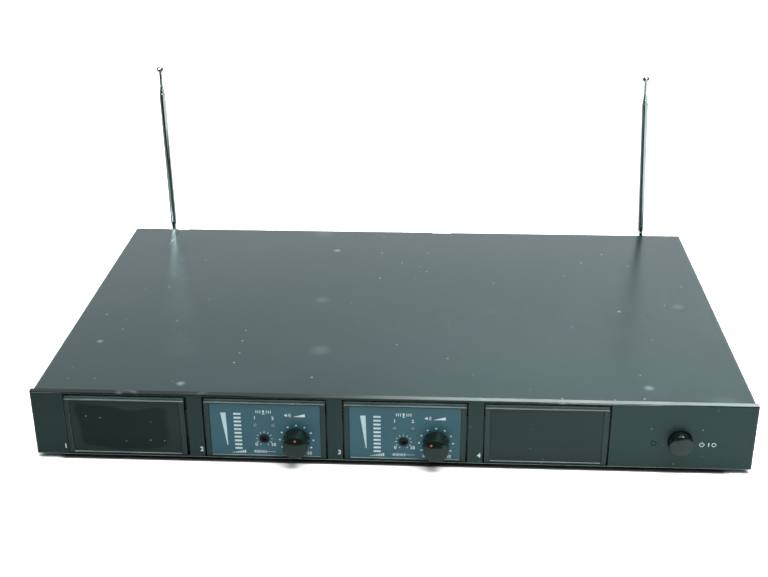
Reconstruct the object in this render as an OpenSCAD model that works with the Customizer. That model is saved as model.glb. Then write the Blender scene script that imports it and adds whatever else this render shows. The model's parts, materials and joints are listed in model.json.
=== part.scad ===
// Wireless receiver unit: a flat steel case with four module bays, two of them
// filled, and two telescopic antennas that swivel and tilt on the rear panel.
// Millimetres. X runs to the right, Y to the rear and Z up. The origin lies on the
// surface that the unit stands on, under the middle of its box.

/* [Case] */
// Width of the steel cover
cover_w = 432.4; // [420:0.2:520]
// Depth of the steel cover, front edge to rear edge
cover_d = 260.7; // [246:0.1:320]
// Height of the case without its feet
case_h = 43.4; // [43:0.1:56]
// Thickness of the folded steel sheet
sheet = 1; // [0.8:0.1:1.2]
// Outside radius of the bends in the sheet
bend_r = 2; // [1.5:0.1:2.5]
// Gap between sheets that slide into each other
sheet_gap = 0.2; // [0.1:0.05:0.4]
// Distance from the cover's rear edge in to the rear panel
rear_inset = 1.5; // [1:0.1:3]
// Height of the tray's turned-up side and rear edges
flange_h = 12; // [10:0.5:16]
// Depth of the rear panel's top edge, folded forward under the cover
rear_fold = 10; // [8:0.5:16]
// Distance of the outer rear screws from the ends of the tray
rear_screw_in = 12.8; // [10:0.1:20]
// Distance of the inner rear screws from the middle
rear_screw_x = 77; // [50:1:100]

/* [Cover notches] */
// Width of a notch in the cover's rear edge
notch_w = 15; // [8:0.5:20]
// Place of the left notch, from the middle of the case
left_notch_x = -180.8; // [-185:0.1:-150]
// Depth of the left notch
left_notch_d = 1.4; // [0.5:0.1:1.4]
// Place of the middle notch, from the middle of the case
middle_notch_x = 29; // [0:0.5:60]
// Depth of the middle notch
middle_notch_d = 1; // [0.5:0.1:1.4]

/* [Feet] */
// Height of a rubber foot
foot_h = 3; // [3:0.5:12]
// Radius of a foot on the floor
foot_floor_r = 7.5; // [6:0.5:9]
// Radius of a foot under the tray
foot_top_r = 8.5; // [7:0.5:10]
// Room round and under a screw's head in a foot
head_room = 0.5; // [0.3:0.1:1]
// Distance of the feet from the ends of the case
foot_in_x = 34; // [20:1:60]
// Distance of the feet from the front and rear of the case
foot_in_y = 30; // [20:1:60]

/* [Front panel] */
// How far the front panel reaches past the cover at each end
panel_lap = 1; // [0.5:0.1:5]
// Thickness of the moulded front panel
panel_t = 4.5; // [4:0.1:6]
// Radius of the panel's long front edges
panel_edge_r = 0.8; // [0.3:0.1:1]
// Radius of the panel's front corners, seen from above
panel_end_r = 2; // [0.5:0.1:3]
// Height of the panel's screws above the case's bottom
panel_screw_z = 33; // [32.5:0.5:38]
// How far the panel's screws reach into it
panel_screw_in = 2.6; // [2:0.1:2.8]

/* [Bays] */
// Distance from one bay to the next
bay_pitch = 84.37; // [83:0.01:88]
// How far the row of bays sits to the left of the middle
bay_shift = 32.75; // [30:0.05:40]
// Width of a bay window
window_w = 75.3; // [71:0.1:77]
// Height of the sill under the windows
sill_h = 0.8; // [0.6:0.1:1.5]
// Height of the beam over the windows
beam_h = 1; // [1:0.1:5]
// How much smaller than a sheet the tray's opening behind it is
opening_in = 3.5; // [2:0.1:5]
// Clearance under a plate and round its ears
plate_gap = 0.2; // [0.1:0.05:0.4]
// Gap between a plate and each side of its window
plate_side_gap = 1.1; // [0.2:0.1:1.5]
// Gap over a plate in its window
plate_top_gap = 2.4; // [0.2:0.1:3]
// Place of the plate in bay 1 from the middle of its window
left_plate_shift = -0.9; // [-1:0.1:1]
// How far a plate's frame lies behind the front panel's face
plate_recess = 0.6; // [0.2:0.1:0.8]
// Width of a plate's frame at its sides
rim_side = 2.9; // [2:0.1:4]
// Width of a plate's frame at its top
rim_top = 0.7; // [0.5:0.1:5]
// Width of a plate's frame at its bottom
rim_bottom = 1; // [0.6:0.1:2]
// Height of the set-back band over a plate's frame
band_h = 1.65; // [1:0.05:4]
// How far that band lies behind the plate's frame
band_back = 1.7; // [0.5:0.1:2]
// How far the set-in sheet lies behind the plate's frame
field_recess = 0.4; // [0.3:0.1:1]
// Thickness of the set-in sheet
overlay_t = 0.6; // [0.4:0.1:0.8]
// Clearance round the set-in sheet
overlay_gap = 0.3; // [0.1:0.05:0.5]
// Corner radius of the set-in sheet and of the place for it
field_r = 1; // [0.5:0.1:2]
// Width of the ears that hold a plate behind the front panel
ear_w = 3; // [2.5:0.1:3.5]
// Height of the ears
ear_h = 18; // [12:0.5:18]
// Thickness of the ears
ear_t = 1.2; // [1:0.1:1.5]

/* [Volume control] */
// Place of the volume shaft to the right of the bay's middle
volume_x = 18.7; // [17:0.1:21]
// Height of the volume shaft above the case's bottom
volume_z = 13.3; // [12:0.1:16]
// How far the knob stands out in front of the front panel
knob_proud = 10.5; // [8:0.1:16]
// Radius of the knob at its base
knob_base_r = 8.3; // [7.5:0.1:9]
// Radius of the knob at its front
knob_front_r = 7.35; // [6:0.05:8]
// Height of the domed front of the knob
knob_dome_h = 1.7; // [0.5:0.1:2.5]
// Length of the knob's straight foot
knob_foot = 1.4; // [0.5:0.1:3]
// Wall of the knob round its hollow back
knob_wall = 1.4; // [1:0.1:1.8]
// Depth of the knob's hollow back
knob_hollow = 4; // [3:0.1:5]
// Gap between the knob and the printed sheet
knob_gap = 0.6; // [0.4:0.1:1.5]
// Radius of the volume shaft
shaft_r = 3; // [2.5:0.1:3.2]
// Depth of the flat on the volume shaft
shaft_flat = 1.5; // [1:0.1:2]
// Gap between the end of the flat and the bush
flat_gap = 0.4; // [0.2:0.1:0.6]
// Gap between the end of the shaft and the upright board
shaft_end_gap = 3; // [2:0.1:4]
// Radius of the bush round the volume shaft
bush_r = 3.9; // [3.6:0.1:4.4]
// How far the bush stands out of the printed sheet
bush_proud = 1.5; // [1:0.1:2]
// Radius of the volume potentiometer's case
pot_r = 8; // [6:0.1:8.5]
// Gap between a plate and the potentiometer behind it
pot_gap = 0.4; // [0.2:0.1:0.8]
// Solid end of the knob in front of its shaft
knob_end = 2; // [1.5:0.1:3]
// Where the knob in bay 2 points, clockwise from straight up
pointer_2 = 3; // [-30:1:30]
// Where the knob in bay 3 points, clockwise from straight up
pointer_3 = -31; // [-60:1:60]

/* [Squelch control] */
// Place of the squelch adjuster from the bay's middle
squelch_x = -0.9; // [-2:0.1:0]
// Height of the squelch adjuster above the case's bottom
squelch_z = 13.8; // [12:0.1:15]
// Radius of the rotor's black ring
rotor_r = 3; // [2.6:0.1:3.2]
// Length of the rotor's ring
rotor_head = 4.2; // [3:0.1:5]
// Radius of the front edge of the rotor's ring
rotor_edge_r = 0.3; // [0.1:0.1:0.5]
// Radius of the round socket in the rotor
rotor_socket_r = 1.85; // [1.5:0.05:2]
// Depth of the round socket in the rotor
rotor_socket_d = 1.4; // [1:0.1:2]
// Width of the screwdriver slot
slot_w = 0.9; // [0.6:0.1:1.2]
// Depth of the screwdriver slot
slot_d = 0.8; // [0.5:0.1:1]
// Radius of the rotor's pivot
rotor_pivot_r = 2; // [1.5:0.1:2.4]
// Side of the squelch potentiometer's square case
trimmer_side = 9.6; // [8:0.1:9.8]
// Corner radius of the squelch potentiometer's case
trimmer_corner_r = 0.5; // [0.2:0.1:1]
// Where the slot in bay 2 points
slot_turn_2 = 25; // [-60:1:60]
// Where the slot in bay 3 points
slot_turn_3 = -10; // [-60:1:60]

/* [Module lights] */
// Number of level bars
bar_count = 10; // [6:1:10]
// Place of the level bars from the bay's middle
bar_x = -16.8; // [-22:0.1:-14]
// Width of a level bar
bar_w = 4.4; // [3:0.1:5]
// Height of a level bar
bar_h = 1.2; // [0.8:0.1:1.5]
// Corner radius of a level bar
bar_corner_r = 0.2; // [0.1:0.05:0.3]
// Distance from one level bar to the next
bar_pitch = 2.67; // [2.4:0.01:2.8]
// Height of the lowest level bar above the case's bottom
bar_low_z = 6.74; // [5:0.01:8]
// Middle of the two signal lights from the bay's middle
mic_x = -0.8; // [-3:0.1:1]
// Distance between the two signal lights
mic_spread = 10.9; // [8:0.1:12]
// Height of the signal lights above the case's bottom
mic_z = 23; // [21:0.1:26]
// Radius of a signal light
mic_r = 1.4; // [1:0.1:1.5]
// Radius of the front edge of a signal light
mic_edge_r = 0.5; // [0.2:0.1:0.8]
// Clearance round a light in its hole
light_gap = 0.1; // [0.05:0.01:0.15]
// How far a light stands out of its sheet
light_proud = 0.15; // [0.1:0.05:0.4]

/* [Power button] */
// Distance of the button from the right side of the cover
button_in = 43.3; // [36:0.1:50]
// Height of the button above the case's bottom
button_z = 19; // [16:0.1:24]
// Radius of the button
button_r = 7; // [5:0.1:8]
// How far the button stands out in front of the front panel
button_proud = 7; // [6:0.1:12]
// Travel of the button
button_travel = 3; // [2:0.1:3.4]
// Clearance round the button in its hole
button_gap = 0.35; // [0.2:0.05:0.5]
// Height of the domed front of the button
button_dome_h = 1.3; // [0.5:0.1:2]
// Side of the button's square stem
stem_side = 3.2; // [2.4:0.1:4]
// Distance of the power light to the left of the button
light_from_button = 15.55; // [14:0.05:20]
// Height of the power light above the case's bottom
light_z = 17.5; // [16:0.1:22]
// Radius of the power light
light_r = 1.6; // [1.2:0.1:2]
// Radius of the front edge of the power light
light_edge_r = 0.8; // [0.2:0.1:1]
// Width of the switch
switch_w = 16; // [14:0.5:17]
// Height of the switch
switch_h = 13; // [12:0.5:16]
// Depth of the switch
switch_d = 18; // [15:0.5:24]
// Corner radius of the switch
switch_corner_r = 0.8; // [0.2:0.1:2]
// Room behind the button's stem when it is pushed in
stem_room = 1; // [0.5:0.1:2]
// How far the button's stem reaches into the switch
stem_in = 4; // [3:0.5:8]
// How far the button's cap reaches into the front panel
cap_in = 1; // [0.5:0.1:1.5]
// Width of the switch's board
switch_board_w = 44; // [40:1:50]
// Height of the switch's board
switch_board_h = 26; // [20:1:28]
// Length of the power light's lens
lens_len = 7; // [5:0.5:9]
// Thickness of the power light's two leads
lead_side = 0.6; // [0.4:0.1:0.8]

/* [Boards] */
// Thickness of the boards
board_t = 1.6; // [1.2:0.1:2]
// Corner radius of the upright boards
board_corner_r = 1; // [0.5:0.1:2]
// Room between a plate and the upright board behind it
board_gap = 7; // [6:0.1:9]
// Height of the board spacers
spacer_h = 6; // [5:0.5:8]
// Radius of a board spacer
spacer_r = 3; // [2.5:0.1:4]
// Radius of the spacer's pin through the board
spacer_pin_r = 1.5; // [1.2:0.1:2]
// Length of the spacer's catch above the board
spacer_catch = 2; // [1.5:0.1:3]
// How much wider than its pin the catch is
catch_lap = 0.6; // [0.3:0.1:0.8]
// Distance of the spacers from the edges of a board
spacer_in = 5; // [4:0.5:8]
// Depth of a module board
module_d = 118; // [100:1:125]
// Width of the boards in a module
module_w = 64; // [62:0.5:66]
// Height of the upright board in a module
upright_h = 30; // [28:0.5:32]
// How far the upright board reaches below the flat one
upright_drop = 3; // [2:0.5:5]
// Width of the main board
main_w = 180; // [150:1:200]
// Depth of the main board
main_d = 84; // [70:1:90]
// Gap between the main board and the rear panel
main_gap = 8; // [7:0.5:12]
// Width of a shield can
can_w = 42; // [30:1:50]
// Depth of a shield can
can_d = 62; // [40:1:80]
// Height of a shield can
can_h = 15; // [10:0.5:18]
// Wall of a shield can
can_wall = 0.5; // [0.3:0.1:0.8]
// Radius of the tuning holes in a shield can
tuning_hole_r = 2; // [1.5:0.1:3]

/* [Rear sockets] */
// Height of the sockets above the case's bottom
socket_z = 21.5; // [20:0.5:26]
// Thickness of a socket's closed back
socket_back = 3; // [2:0.5:5]
// Place of the low-voltage inlet from the middle of the case
inlet_x = 142; // [110:1:160]
// Radius of the inlet's opening
inlet_bore_r = 3.15; // [3:0.05:3.5]
// Radius of the inlet's pin
inlet_pin_r = 1.05; // [1:0.05:1.3]
// Depth of the inlet's opening
inlet_depth = 9; // [8:0.5:11]
// Radius of the inlet's rim
inlet_rim_r = 6; // [5:0.1:7]
// Thickness of the inlet's rim
inlet_rim_t = 1.6; // [1:0.1:2.5]
// Radius of the outer edges of the sockets and antenna bases
socket_edge_r = 0.5; // [0.3:0.1:0.8]
// Radius of the inlet's case
inlet_case_r = 4.6; // [4.4:0.1:4.8]
// Place of the output jack from the middle of the case
jack_x = 26; // [20:1:45]
// Radius of the jack's bore
jack_bore_r = 3.2; // [3.18:0.01:3.3]
// Depth of the jack's bore
jack_depth = 26; // [24:0.5:30]
// Radius of the jack's nose
jack_nose_r = 5; // [4.5:0.1:6]
// How far the jack's nose stands out of the rear panel
jack_proud = 4; // [3:0.1:6]
// Width of the jack's case
jack_case_w = 16; // [14:0.5:20]
// Height of the jack's case
jack_case_h = 18; // [14:0.5:20]
// Corner radius of the jack's case
jack_corner_r = 1; // [0.5:0.1:2]
// Width of the jack's nut across its corners
nut_w = 15.5; // [14:0.1:18]
// Thickness of the jack's nut
nut_t = 2.2; // [1.5:0.1:2.4]
// Thickness of the washer under the nut
washer_t = 0.6; // [0.4:0.1:1]
// Place of the three-pin output from the middle of the case
xlr_x = -16; // [-40:1:-10]
// Width of the three-pin output's flange
xlr_w = 26; // [25:0.5:28]
// Height of the three-pin output's flange
xlr_h = 31; // [30:0.5:32]
// Corner radius of the three-pin output's flange
xlr_corner_r = 3; // [2:0.1:4]
// Thickness of the three-pin output's flange
xlr_t = 2; // [1.6:0.1:3]
// Radius of the three-pin output's case
xlr_case_r = 11.6; // [11:0.1:11.8]
// Radius of the round space round the three pins
xlr_bore_r = 8.4; // [8.2:0.1:9]
// Depth of the round space
xlr_depth = 17; // [15:0.5:20]
// Distance of the three pins from their middle
xlr_pin_at = 3.8; // [3.7:0.05:4]
// Radius of a pin
xlr_pin_r = 1.2; // [1.1:0.05:1.3]
// Radius of a pin's round end
xlr_pin_edge_r = 0.8; // [0.4:0.1:1]
// Length of a pin that stands free
xlr_pin_len = 13; // [12:0.5:14]
// Length of a pin behind the floor of the round space
xlr_pin_tail = 6; // [4:0.5:8]
// Distance of the flange's screws from its middle, sideways
xlr_screw_x = 9.5; // [9.2:0.1:10]
// Distance of the flange's screws from its middle, up and down
xlr_screw_z = 12; // [11.6:0.1:12.4]
// Room in the tray's rear edge under the flange's lower screw
xlr_relief = 0.5; // [0.3:0.1:1]

/* [Antennas] */
// Distance of the antennas from the middle of the case
antenna_x = 187.6; // [175:0.1:195]
// Height of the antenna hinge above the case's bottom
hinge_z = 35.4; // [30:0.1:35.4]
// Distance of the antenna hinge behind the cover's rear edge
hinge_back = 11; // [10:0.5:14]
// How far the left antenna leans to the left
left_lean = 1.3; // [0:0.1:10]
// How far the left antenna leans to the rear
left_tip = 3.9; // [0:0.1:10]
// How far the right antenna leans to the left
right_lean = 3.5; // [0:0.1:10]
// How far the right antenna leans to the front
right_tip = 3.5; // [0:0.1:3.5]
// Outside radius of the outer tube
tube_r = 2.3; // [2.2:0.05:3]
// Wall of the tubes
tube_wall = 0.25; // [0.2:0.01:0.3]
// How far a tube's rolled end reaches inwards
tube_lip = 0.12; // [0.1:0.01:0.15]
// Length of a tube's rolled end
lip_len = 2; // [1:0.1:3]
// Clearance between tubes that slide
slide_gap = 0.05; // [0.03:0.01:0.08]
// Length of the outer tube
tube_len = 104.7; // [90:0.1:130]
// How far each pushed-in tube stands out of the next larger one
ring_len = 3; // [2:0.1:4]
// Length of rod that shows between the thinnest tube and the cap
rod_out = 10.7; // [5:0.1:20]
// Length of the wider foot of each sliding piece
foot_len = 5; // [4:0.5:8]
// Radius of the cap
cap_r = 2.6; // [2.4:0.05:3]
// Height of the cap
cap_h = 4; // [3.5:0.1:5]
// Height of the cap's sloping lower end
cap_slope_h = 1.6; // [1:0.1:2]
// How much wider than the rod the cap's lower end is
cap_lap = 0.4; // [0.2:0.1:0.8]
// Radius of the cap's upper edge
cap_edge_r = 1.6; // [0.5:0.1:1.7]
// Distance from the hinge to the outer tube
root_len = 9.5; // [8:0.1:12]
// Length of the root inside the outer tube
plug_len = 4; // [3:0.1:6]
// Height of the collar that the outer tube stands on
collar_h = 1; // [0.6:0.1:2]
// Room under each sliding piece when it is pushed in
slide_rest = 0.5; // [0.3:0.1:1]
// Thickness of the root's flat tongue
tongue_t = 2.4; // [2:0.1:3]
// Radius of the tongue's round end
tongue_r = 2.8; // [2.4:0.1:3.2]
// Thickness of a fork ear
fork_ear_t = 1.7; // [1.4:0.1:2.2]
// Radius of a fork ear's round end
fork_ear_r = 3.5; // [3.2:0.1:4]
// Radius of the swivel's barrel
barrel_r = 4.8; // [4.5:0.1:5.5]
// Length of the swivel's barrel
barrel_len = 3; // [2:0.1:4]
// Radius of the barrel's outer edge
barrel_edge_r = 0.6; // [0.3:0.1:1]
// Radius of the swivel's spindle in the base
spindle_r = 2; // [1.6:0.1:2.4]
// Size of the rivet head that holds the spindle in
spindle_lap = 1; // [0.6:0.1:1.4]
// Radius of the hinge pin
pin_r = 1; // [0.8:0.05:1.2]
// Radius of the hinge pin's heads
pin_head_r = 1.8; // [1.5:0.1:2.2]
// Height of the hinge pin's heads
pin_head_h = 0.8; // [0.5:0.1:1.2]
// Radius of the edges of the hinge pin's heads
pin_edge_r = 0.5; // [0.2:0.1:0.5]
// Radius of the base's flange
base_r = 6.5; // [6:0.1:8]
// Thickness of the base's flange
base_t = 2; // [1.5:0.1:2.5]
// Radius of the base's neck through the rear panel
base_neck_r = 4; // [3.5:0.1:4.5]
// Radius of the nut on the base's neck, to its corners
base_nut_r = 5.2; // [4.9:0.1:5.4]
// Thickness of the nut on the base's neck
base_nut_t = 3; // [2:0.1:4]
// Length of the neck behind its nut
base_neck_end = 2; // [1:0.1:4]

/* [Screws] */
// Radius of the case screws
screw_r = 1.5; // [1.2:0.1:1.6]
// Radius of a case screw's head
screw_head_r = 2.8; // [2.5:0.1:3]
// Height of a case screw's head
screw_head_h = 1.6; // [1.2:0.1:1.8]
// Radius of the edge of a case screw's head
screw_edge_r = 1; // [0.4:0.1:1.2]
// Length of a case screw under its head
screw_len = 6; // [5:0.5:8]
// Clearance round a screw or a pin in its hole
fit_gap = 0.05; // [0.03:0.01:0.1]

/* [Hidden] */
$fn = 64;

// Extra length of a cut, so that it passes right through
cut = 1;

// The box from front to rear: knob, panel, cover, and the antenna forks or the cap of the left
// antenna, whichever reaches further back from the hinge
cap_low = tube_top(2) + rod_out;
cap_edge_at = cap_low + cap_h - cap_edge_r;
rear_reach = max(
    fork_ear_r,
    (cap_r - cap_edge_r) * cos(left_tip) + cap_edge_at * sin(left_tip) + cap_edge_r
);
total_d = knob_proud + panel_t + cover_d + hinge_back + rear_reach;
front_y = knob_proud - total_d / 2;
cover_front_y = front_y + panel_t;
rear_y = cover_front_y + cover_d;
rear_face_y = rear_y - rear_inset;
bottom_z = foot_h;
top_z = foot_h + case_h;

// Case
panel_w = cover_w + 2 * panel_lap;
tray_w = cover_w - 2 * (sheet + sheet_gap);
tray_d = rear_face_y - sheet - cover_front_y;
wall_h = case_h - sheet - sheet_gap;
hole_r = screw_r + fit_gap;
side_screw_y = [
    cover_front_y + foot_in_y,
    (cover_front_y + rear_y) / 2,
    rear_y - foot_in_y
];
side_screw_z = flange_h / 2;
rear_screw_end = tray_w / 2 - rear_screw_in;
foot_x = cover_w / 2 - foot_in_x;
foot_ys = [cover_front_y + foot_in_y, rear_y - foot_in_y];
foot_seat_z = screw_head_h + head_room;

// Bays
function bay_x(bay) = (bay - 2.5) * bay_pitch - bay_shift;
function plate_x(bay) = bay_x(bay) + (bay == 1 ? left_plate_shift : 0);
window_h = case_h - sill_h - beam_h;
plate_w = window_w - 2 * plate_side_gap;
plate_low_z = sill_h + plate_gap;
plate_h = window_h - plate_gap - plate_top_gap;
frame_h = plate_h - band_h;
field_w = plate_w - 2 * rim_side;
field_low_z = plate_low_z + rim_bottom;
field_h = frame_h - rim_bottom - rim_top;
rim_y = front_y + plate_recess;
band_y = rim_y + band_back;
field_y = rim_y + field_recess;
board_y = cover_front_y + board_gap;
pillar_x = [for (k = [-2 : 2]) k * bay_pitch - bay_shift];

// Radius of a dome of height h on a round end of radius r
function dome_r(r, h) = (r * r + h * h) / (2 * h);

// Volume control
knob_back_y = field_y - knob_gap;
knob_len = knob_back_y - front_y + knob_proud;
socket_len = knob_len - knob_dome_h - knob_end;
flat_end_y = field_y - bush_proud - flat_gap;
knob_dome_r = dome_r(knob_front_r, knob_dome_h);

// Squelch control
rotor_front_y = field_y - light_proud;
trimmer_y = rotor_front_y + rotor_head + fit_gap;

// Boards
board_z = sheet + spacer_h;
upright_low_z = board_z - upright_drop;
module_y = board_y + board_t;
main_y = rear_face_y - sheet - main_gap - main_d;

// Power button
button_x = cover_w / 2 - button_in;
button_back_y = front_y + cap_in;
button_dome_r = dome_r(button_r, button_dome_h);
switch_y = cover_front_y + sheet;
stem_end_y = switch_y + stem_in;
light_x = button_x - light_from_button;

// Antennas: radii of the sleeve, the bore, the rolled end and the foot of section n, where
// section 0 is the outer tube and section 3 the rod
function sleeve_r(n) = tube_r - n * (tube_wall + tube_lip + slide_gap);
function bore_r(n) = sleeve_r(n) - tube_wall;
function lip_r(n) = bore_r(n) - tube_lip;
function slide_foot_r(n) = bore_r(n - 1) - slide_gap;
function tube_top(n) = root_len + tube_len + n * ring_len;
function slide_low(n) = root_len + plug_len + n * slide_rest;
rod_low = slide_low(3) + rod_out + slide_rest;
hinge_y = rear_y + hinge_back;
fork_gap = tongue_t + 2 * fit_gap;
barrel_y = rear_face_y + base_t + fit_gap;
neck_len = sheet + base_nut_t + base_neck_end;
spindle_len = base_t + neck_len + 2 * fit_gap;

// Plain outlines

// Rectangle with round corners about its middle
module round_rect(w, h, r) {
    square([w - 2 * r, h], center = true);
    square([w, h - 2 * r], center = true);
    for (sx = [-1, 1], sy = [-1, 1])
        translate([sx * (w / 2 - r), sy * (h / 2 - r)])
            circle(r);
}

// Upright rectangle, its lower edge on the x axis, with the two lower corners round
module round_foot_rect(w, h, r) {
    translate([-w / 2, r])
        square([w, h - r]);
    translate([-w / 2 + r, 0])
        square([w - 2 * r, 2 * r]);
    for (sx = [-1, 1])
        translate([sx * (w / 2 - r), r])
            circle(r);
}

// Folded sheet seen from its end: a floor with two sides turned up
module channel(w, h, r) {
    difference() {
        round_foot_rect(w, h, r);
        translate([0, sheet])
            round_foot_rect(w - 2 * sheet, h, r - sheet);
    }
}

// Block from the origin to (t, h) with both corners at x = 0 round
module eased_block(t, h, r) {
    translate([r, 0])
        square([t - r, h]);
    translate([0, r])
        square([2 * r, h - 2 * r]);
    for (y = [r, h - r])
        translate([r, y])
            circle(r);
}

// Half outline of a turned piece: radius r, height h, with its far edge round
module eased_disc(r, h, edge_r) {
    intersection() {
        square([r, h]);
        union() {
            square([r - edge_r, h]);
            square([r, h - edge_r]);
            translate([r - edge_r, h - edge_r])
                circle(edge_r);
        }
    }
}

// Placing

// Stands an outline upright, facing the front, and runs it back from y by depth
module stand(y, depth) {
    translate([0, y + depth, 0])
        rotate([90, 0, 0])
            linear_extrude(depth)
                children();
}

// Turns a half outline about an axis that runs from front to rear
module turn() {
    rotate([-90, 0, 0])
        rotate_extrude()
            children();
}

// Moves to a place on the case, at height z above its bottom
module at_case(x, z) {
    translate([x, 0, bottom_z + z])
        children();
}

// Round bar from front to rear
module rod_y(r, y, len) {
    translate([0, y, 0])
        rotate([-90, 0, 0])
            cylinder(r = r, h = len);
}

// Pan-head screw, its head's seat in the plane z = 0 and its shank below
module pan_screw(len) {
    translate([0, 0, -len])
        cylinder(r = screw_r, h = len);
    rotate_extrude()
        eased_disc(screw_head_r, screw_head_h, screw_edge_r);
}

// Case

module side_screws() {
    for (side = [-1, 1], y = side_screw_y)
        translate([side * cover_w / 2, y, bottom_z + side_screw_z])
            rotate([0, side * 90, 0])
                children();
}

module rear_screws() {
    for (side = [-1, 1], x = [rear_screw_x, rear_screw_end])
        translate([side * x, rear_face_y, bottom_z + side_screw_z])
            rotate([-90, 0, 0])
                children();
}

module screw_hole() {
    translate([0, 0, -screw_len])
        cylinder(r = hole_r, h = screw_len + cut);
}

module chassis_tray() {
    color("dimgray")
        difference() {
            union() {
                stand(cover_front_y, tray_d)
                    translate([0, bottom_z])
                        channel(tray_w, flange_h, bend_r);
                stand(cover_front_y, sheet)
                    translate([0, bottom_z + wall_h / 2])
                        round_rect(tray_w, wall_h, bend_r);
                stand(rear_face_y - 2 * sheet, sheet)
                    translate([0, bottom_z])
                        round_foot_rect(tray_w, flange_h, bend_r);
            }
            for (bay = [1 : 4])
                at_case(bay_x(bay), field_low_z + field_h / 2)
                    stand(cover_front_y - cut, sheet + 2 * cut)
                        round_rect(field_w - opening_in, field_h - opening_in, field_r);
            at_case(button_x, button_z)
                rod_y(button_r + button_gap, cover_front_y - cut, sheet + 2 * cut);
            at_case(light_x, light_z)
                rod_y(light_r + light_gap, cover_front_y - cut, sheet + 2 * cut);
            for (x = pillar_x)
                at_case(x, panel_screw_z)
                    rod_y(hole_r, cover_front_y - cut, sheet + 2 * cut);
            for (sx = [-1, 1], y = foot_ys)
                translate([sx * foot_x, y, bottom_z - cut])
                    cylinder(r = hole_r, h = sheet + 2 * cut);
            at_case(xlr_x, socket_z - xlr_screw_z - hole_r - xlr_relief)
                stand(rear_face_y - 2 * sheet - cut, sheet + 2 * cut)
                    translate([-xlr_w / 2, 0])
                        square([xlr_w, flange_h]);
            side_screws()
                screw_hole();
            rear_screws()
                screw_hole();
        }
}

module rear_panel() {
    fold_low = wall_h - 2 * bend_r;
    fold_w = tray_w - 4 * bend_r;
    color("dimgray")
        difference() {
            union() {
                stand(rear_face_y - sheet, sheet)
                    translate([0, bottom_z + wall_h - sheet])
                        mirror([0, 1])
                            round_foot_rect(tray_w, wall_h - sheet, bend_r);
                translate([0, 0, bottom_z])
                    rotate([90, 0, 90])
                        linear_extrude(fold_w, center = true)
                            rear_fold_outline(fold_low);
            }
            at_case(xlr_x, socket_z)
                rod_y(xlr_case_r + fit_gap, rear_face_y - sheet - cut, sheet + 2 * cut);
            for (s = [-1, 1])
                at_case(xlr_x + s * xlr_screw_x, socket_z - s * xlr_screw_z)
                    rod_y(hole_r, rear_face_y - sheet - cut, sheet + 2 * cut);
            at_case(jack_x, socket_z)
                rod_y(jack_nose_r + fit_gap, rear_face_y - sheet - cut, sheet + 2 * cut);
            at_case(inlet_x, socket_z)
                rod_y(inlet_case_r + fit_gap, rear_face_y - sheet - cut, sheet + 2 * cut);
            for (side = [-1, 1])
                at_case(side * antenna_x, hinge_z)
                    rod_y(base_neck_r + fit_gap, rear_face_y - sheet - cut, sheet + 2 * cut);
            rear_screws()
                screw_hole();
        }
}

// The rear panel's top edge seen from its end: up the panel, round the bend and forward
module rear_fold_outline(low) {
    translate([rear_face_y - rear_fold, 0])
        difference() {
            fold_corner(rear_fold, low, wall_h, bend_r);
            translate([-cut, -cut])
                fold_corner(rear_fold - sheet + cut, low, wall_h - sheet + cut, bend_r - sheet);
        }
}

// Block from height low to h with its upper far corner round
module fold_corner(t, low, h, r) {
    translate([0, low])
        square([t - r, h - low]);
    translate([0, low])
        square([t, h - r - low]);
    translate([t - r, h - r])
        circle(r);
}

module top_cover() {
    color("darkslategray")
        difference() {
            stand(cover_front_y, cover_d)
                translate([0, top_z])
                    mirror([0, 1])
                        channel(cover_w, case_h - sheet_gap, bend_r);
            cover_notch(left_notch_x, left_notch_d);
            cover_notch(middle_notch_x, middle_notch_d);
            side_screws()
                screw_hole();
        }
}

module cover_notch(x, depth) {
    translate([x - notch_w / 2, rear_y - depth, top_z - sheet - cut])
        cube([notch_w, depth + cut, sheet + 2 * cut]);
}

module case_screws() {
    color("darkgray") {
        side_screws()
            pan_screw(screw_len);
        rear_screws()
            pan_screw(screw_len);
    }
}

module rubber_feet() {
    color("black")
        for (sx = [-1, 1], y = foot_ys)
            translate([sx * foot_x, y, 0])
                rotate_extrude()
                    difference() {
                        polygon([
                            [hole_r, 0], [foot_floor_r, 0], [foot_top_r, foot_h], [hole_r, foot_h]
                        ]);
                        translate([0, -cut])
                            square([screw_head_r + head_room, foot_seat_z + cut]);
                    }
}

module foot_screws() {
    color("darkgray")
        for (sx = [-1, 1], y = foot_ys)
            translate([sx * foot_x, y, foot_seat_z])
                mirror([0, 0, 1])
                    pan_screw(screw_len);
}

// Front panel

module window_outline() {
    translate([0, sill_h + window_h / 2])
        square([window_w, window_h], center = true);
}

module front_panel() {
    color("darkslategray")
        difference() {
            intersection() {
                rotate([90, 0, 90])
                    linear_extrude(panel_w, center = true)
                        translate([front_y, bottom_z])
                            eased_block(panel_t, case_h, panel_edge_r);
                translate([0, front_y, bottom_z - cut])
                    linear_extrude(case_h + 2 * cut)
                        round_foot_rect(panel_w, panel_t, panel_end_r);
            }
            for (bay = [1 : 4]) {
                at_case(bay_x(bay), 0)
                    stand(front_y - cut, panel_t + 2 * cut)
                        window_outline();
                at_case(plate_x(bay), 0)
                    stand(cover_front_y - ear_t - plate_gap, ear_t + plate_gap + cut)
                        ear_outline(plate_gap);
            }
            at_case(button_x, button_z)
                rod_y(button_r + button_gap, front_y - cut, panel_t + 2 * cut);
            at_case(light_x, light_z)
                rod_y(light_r + light_gap, front_y - cut, panel_t + 2 * cut);
            for (x = pillar_x)
                at_case(x, panel_screw_z)
                    rod_y(hole_r, cover_front_y - panel_screw_in - fit_gap, panel_screw_in + cut);
        }
}

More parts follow.
